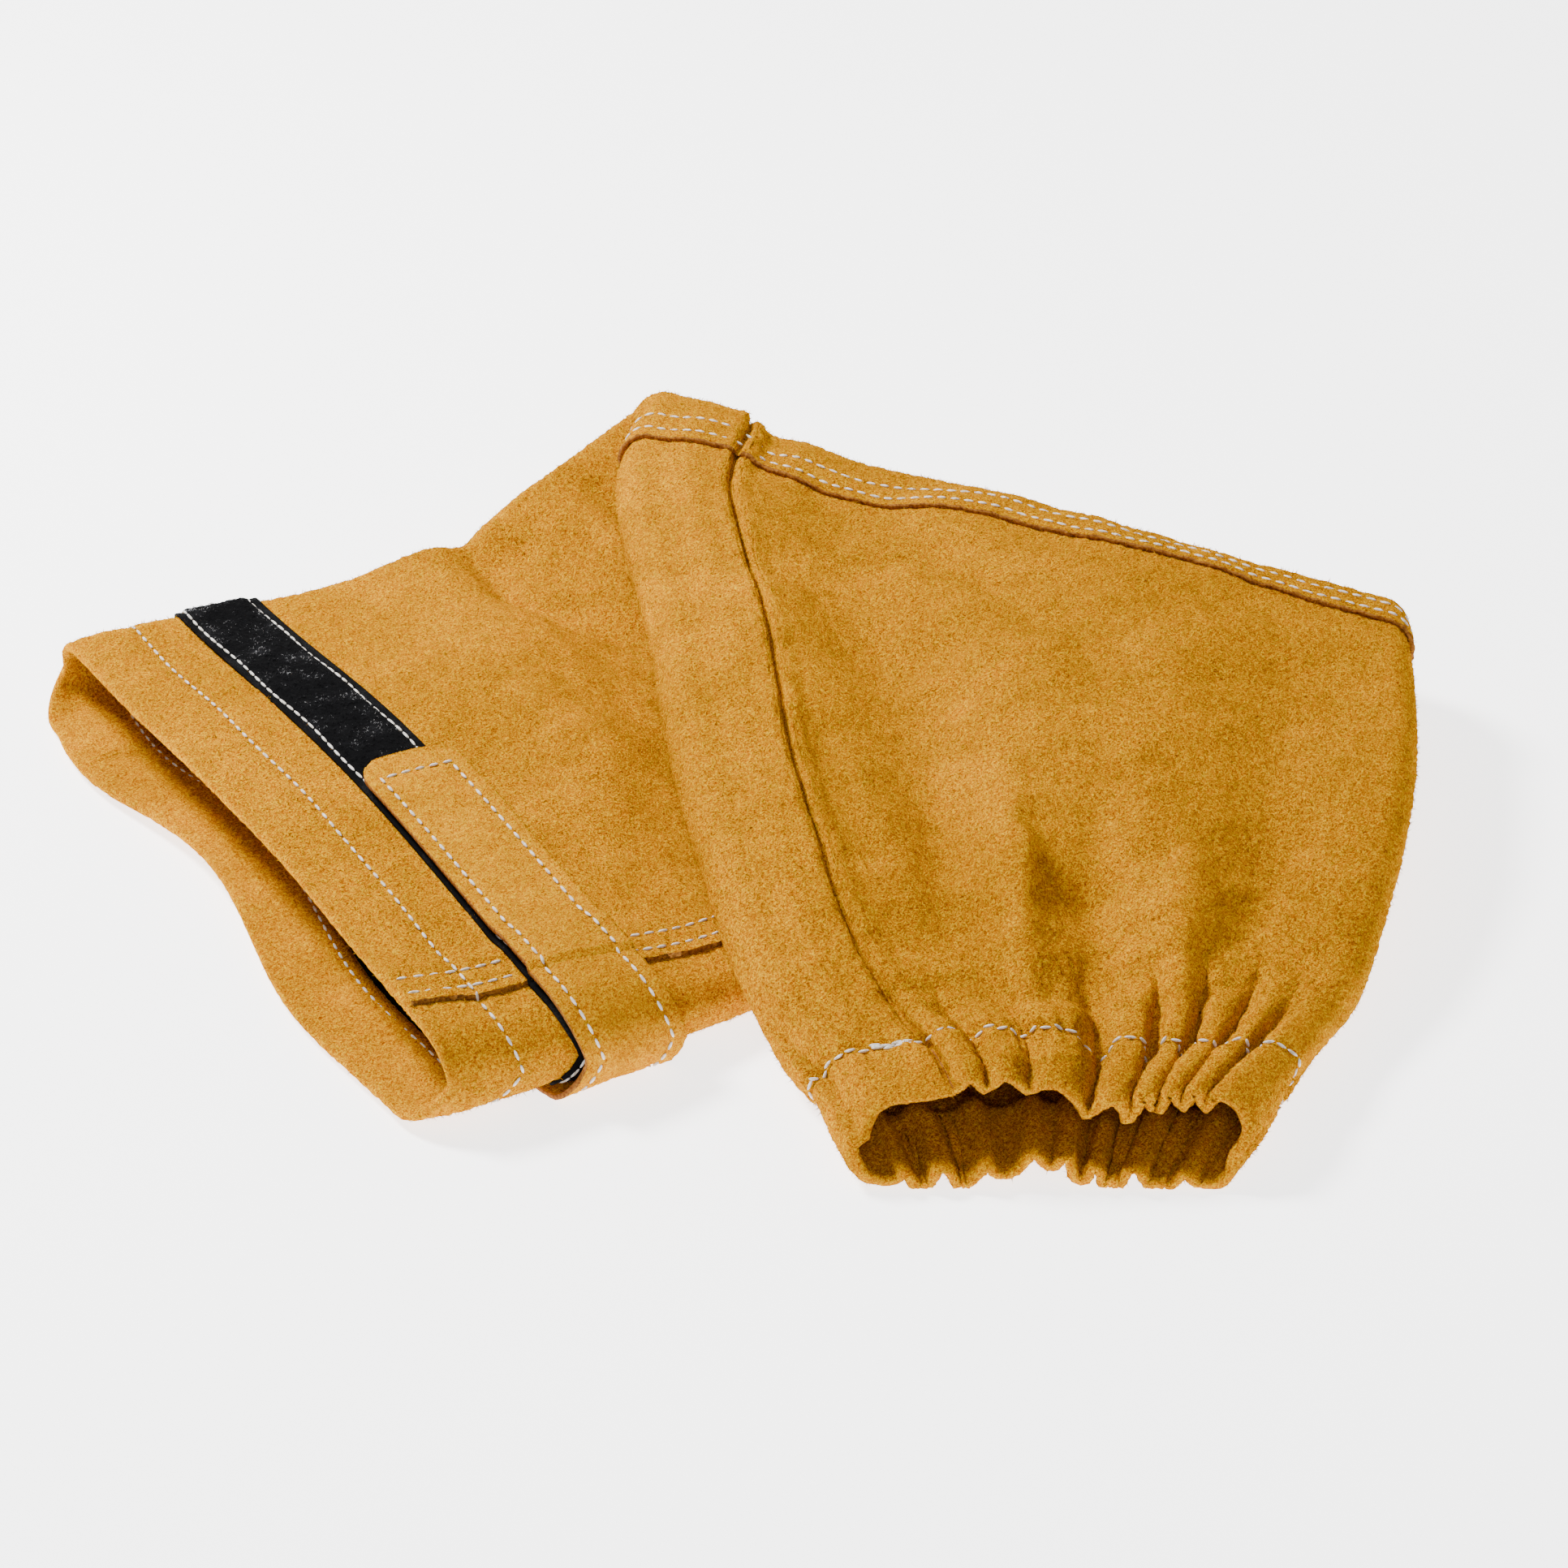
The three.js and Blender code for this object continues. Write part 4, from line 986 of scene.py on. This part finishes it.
hook_share = HOOK_INSET * LAYER_SHARE / TAPE_LAYER
points, faces, materials = patch(
    np.linspace(0, 1, 5), np.linspace(free_end + hook_share, in_share(1), 60),
    constant(STRAP_START + HOOK_INSET), constant(STRAP_END - HOOK_INSET), hook_outer, hook_inner, 0)
hook_tape = add_mesh("hook_tape_weave", points, faces, materials, (black_tape,))
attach(hook_tape, "root")
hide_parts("hook_tape")

# Inner band
# A flat black woven band inside the cuff behind the loop tape, caught by the same rows of thread.
points, faces, materials = patch(
    np.linspace(0, 1, 14), round_columns(260),
    constant(CUFF_HEM + 0.75 * MM), constant(TAPE_END),
    lambda v, p: np.full(len(p), -LEATHER / 2 - CLEARANCE),
    lambda v, p: np.full(len(p), -LEATHER / 2 - CLEARANCE - BAND_THICKNESS), 0, wraps=True)
inner_band = add_mesh("inner_band_weave", points, faces, materials, (black_tape,))
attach(inner_band, "root")
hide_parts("inner_band")

# Stitches
# Off-white polyester thread in straight rows, about six stitches to the inch, each sunk a little where
# it enters the leather: the hem, the tape's two edges, the strap, both lapped seams and the wrist.
STITCH_PITCH = 4.2 * MM
STITCH_LENGTH = 3.3 * MM
THREAD_RADIUS = 0.42 * MM
THREAD_LOWEST = 0.5 * MM
WAY_STEP = 0.4 * MM


def stitch_tree(name):
    """Geometry Nodes: one stitch on each point, laid along the row and lying on the leather."""
    tree, source = new_tree(name, ("Length", "Radius", "Unevenness"))
    grain = node(tree, "GeometryNodeMeshUVSphere", values={"Segments": 8, "Rings": 6, "Radius": 1.0})
    to_row = node(tree, "GeometryNodeInputNamedAttribute", values={"Name": "row"}, data_type="FLOAT_VECTOR")
    to_out = node(tree, "GeometryNodeInputNamedAttribute", values={"Name": "out"}, data_type="FLOAT_VECTOR")
    turned = node(tree, "FunctionNodeAlignRotationToVector",
                  {"Vector": to_row.outputs["Attribute"]}, axis="X")
    turned = node(tree, "FunctionNodeAlignRotationToVector",
                  {"Rotation": turned.outputs[0], "Vector": to_out.outputs["Attribute"]},
                  axis="Z", pivot_axis="X")
    low = node(tree, "ShaderNodeMath", {1: source["Unevenness"]}, {0: 1.0}, operation="SUBTRACT")
    uneven = node(tree, "FunctionNodeRandomValue", {2: low.outputs[0], "Seed": source["Seed"]}, {3: 1.0},
                  data_type="FLOAT")
    length = node(tree, "ShaderNodeMath", {0: source["Length"], 1: uneven.outputs[1]}, operation="MULTIPLY")
    half = node(tree, "ShaderNodeMath", {0: length.outputs[0]}, {1: 0.5}, operation="MULTIPLY")
    size = node(tree, "ShaderNodeCombineXYZ",
                {"X": half.outputs[0], "Y": source["Radius"], "Z": source["Radius"]})
    laid = node(tree, "GeometryNodeInstanceOnPoints",
                {"Points": source["Geometry"], "Instance": grain.outputs["Mesh"],
                 "Rotation": turned.outputs[0], "Scale": size.outputs[0]})
    end_tree(tree, laid.outputs[0], source["Material"])
    return tree


def points_mesh(name, points, vectors):
    """Loose points that carry vectors, for a Geometry Nodes tree to grow on."""
    seed = bpy.data.meshes.new(name + "_points")
    seed.from_pydata(np.asarray(points).tolist(), [], [])
    for label, vector in vectors.items():
        layer = seed.attributes.new(label, "FLOAT_VECTOR", "POINT")
        layer.data.foreach_set("vector", np.asarray(vector, dtype=np.float32).ravel())
    return seed


def row_points(v_path, p_path, offset, pitch=STITCH_PITCH):
    """Even points along a path on the sleeve, with the path's direction and the way out at each."""
    v_path, p_path = np.broadcast_arrays(np.asarray(v_path, float), np.asarray(p_path, float))
    fine = np.linspace(0, 1, 900)
    knots = np.linspace(0, 1, len(v_path))
    v, p = np.interp(fine, knots, v_path), np.interp(fine, knots, p_path)
    point, normal, _ = surface(v, p % 1)
    point = point + normal * (offset(v, p % 1) if callable(offset) else offset)[:, None] + place_shift
    point[:, 2] = np.maximum(point[:, 2], THREAD_LOWEST)
    along = np.concatenate(((0,), np.cumsum(np.linalg.norm(np.diff(point, axis=0), axis=1))))
    places = np.arange(pitch / 2, along[-1], pitch)

    def at(distances, vectors):
        return np.stack([np.interp(distances, along, vectors[:, k]) for k in range(3)], axis=1)

    ways = at(places + WAY_STEP, point) - at(places - WAY_STEP, point)
    ways /= np.linalg.norm(ways, axis=1)[:, None]
    outs = at(places, normal)
    outs -= ways * (outs * ways).sum(axis=1)[:, None]
    outs /= np.linalg.norm(outs, axis=1)[:, None]
    return at(places, point), ways, outs


ROW_SINK = 0.12 * MM
ROUND = np.linspace(0, 1, 400)


def on_upper(v, p):
    return LEATHER / 2 + unevenness(v, p) + lap_lift(v, p) + seam_lift(v) - ROW_SINK - 0.1 * MM


def on_forearm(v, p):
    return LEATHER / 2 + unevenness(v, p) - 0.5 * MM + wrist_ruffles(v, p)


def on_tape(v, p):
    return tape_outer(v, p) - 0.75 * MM


def on_strap(v, p):
    return strap_outer(v, p) - ROW_SINK


def wobble(v, size, turns, phase):
    """A row round the sleeve that wanders a little, as one sewn by hand on a machine does."""
    return v + size * np.sin(np.linspace(0, turns * 2 * np.pi, len(ROUND)) + phase)


def lap_row(distance, start, end):
    """A row beside the lapped edge of the near side, so far from that edge."""
    v = np.linspace(start, end, 200)
    across = LAP_SEAM - distance / layer_width(v)
    return v, in_share(across)


thread_rows = {
    "hem_stitches": (
        row_points(wobble(HEM_STITCH, 0.3 * MM, 9, 0.4), ROUND, on_upper),
        row_points(HEM_STITCH - 1.5 * MM * np.clip(np.sin(np.pi * (2 * ROUND - 1)), 0, 1), ROUND,
                   lambda v, p: np.full(len(p), HEM_OFFSET)),
    ),
    "tape_stitches": (
        row_points(wobble(TAPE_SETBACK + TAPE_ROW, 0.35 * MM, 11, 1.0), ROUND, on_tape),
        row_points(wobble(TAPE_END - TAPE_ROW, 0.35 * MM, 13, 2.0), ROUND, on_tape),
    ),
    "lap_stitches": tuple(
        row_points(*lap_row(distance, start, end), on_upper)
        for distance in SEWING_ROWS
        for start, end in ((0.5 * MM, TAPE_SETBACK - 1 * MM), (TAPE_END + 1 * MM, FOLD_STATION - 12 * MM))
    ),
    "elbow_stitches": tuple(
        row_points(wobble(SEAM_STATION - back, 0.3 * MM, 8, back * 900), ROUND, on_upper)
        for back in SEWING_ROWS
    ),
    "wrist_stitches": (
        row_points(np.full(len(ROUND), SLEEVE_END - CASING), ROUND, on_forearm, 3.6 * MM),
    ),
}

strap_low, strap_high = STRAP_START + STRAP_ROW, STRAP_END - STRAP_ROW
end_share = free_end + 2 * STRAP_ROW * LAYER_SHARE / TAPE_LAYER
strap_path_v = np.concatenate((np.full(300, strap_low), np.linspace(strap_low, strap_high, 60),
                               np.full(300, strap_high)))
strap_path_p = np.concatenate((np.linspace(sewn_end, end_share, 300), np.full(60, end_share),
                               np.linspace(end_share, sewn_end, 300)))
tack = np.linspace(out_share(PLAIN_SEAM - 0.02), out_share(0.03), 200)
thread_rows["wrist_back_tack"] = tuple(
    row_points(np.full(200, SLEEVE_END - CASING + shift), tack, on_forearm, 2.9 * MM)
    for shift in (-0.7 * MM, 0.6 * MM)
)
thread_rows["strap_stitches"] = (row_points(strap_path_v, strap_path_p, on_strap),)

stitches = stitch_tree("stitch_row")
white_thread = plain_material("white_polyester_thread", "#bdb5a6", "#efebe4", 1.2 * MM, 0.7)
STITCH_LENGTHS = {"tape_stitches": 4.3 * MM, "wrist_back_tack": 3.2 * MM}
for name, rows in thread_rows.items():
    spots, ways, outs = (np.concatenate(group) for group in zip(*rows))
    piece = grown(name, points_mesh(name, spots, {"row": ways, "out": outs}), stitches,
                  {"Length": STITCH_LENGTHS.get(name, STITCH_LENGTH), "Radius": THREAD_RADIUS,
                   "Unevenness": 0.15, "Seed": 3, "Material": white_thread})
    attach(piece, "root")

# Floor and light
# A plain white sweep under the sleeve and three soft lights, as in a product photograph.
FLOOR_SIZE = 6.0
floor_mesh = bpy.data.meshes.new("floor")
floor_mesh.from_pydata(
    [(-FLOOR_SIZE, -FLOOR_SIZE, 0), (FLOOR_SIZE, -FLOOR_SIZE, 0), (FLOOR_SIZE, FLOOR_SIZE, 0),
     (-FLOOR_SIZE, FLOOR_SIZE, 0)], [], [(0, 1, 2, 3)])
floor = bpy.data.objects.new("floor", floor_mesh)
bpy.context.scene.collection.objects.link(floor)
floor_mesh.materials.append(new_material("white_paper_sweep", {
    "Base Color": linear("#fbfbfb"), "Roughness": 1.0, "Emission Color": linear("#ffffff"),
    "Emission Strength": 3.0})[0])

world = bpy.data.worlds.new("studio")
world.use_nodes = True
set_values(world.node_tree.nodes["Background"], {"Color": (1, 1, 1, 1), "Strength": 0.2})
bpy.context.scene.world = world


def soft_light(name, position, size, power):
    light = bpy.data.objects.new(name, bpy.data.lights.new(name, "AREA"))
    light.data.shape = "DISK"
    light.data.size = size
    light.data.energy = power
    light.location = position
    light.rotation_euler = (-Vector(position)).to_track_quat("-Z", "Y").to_euler()
    bpy.context.scene.collection.objects.link(light)


soft_light("key", (-0.42, 0.65, 0.95), 0.32, 35)
soft_light("front", (-0.55, -0.95, 0.9), 0.6, 6)
soft_light("side", (1.1, 0.1, 0.7), 0.8, 3)
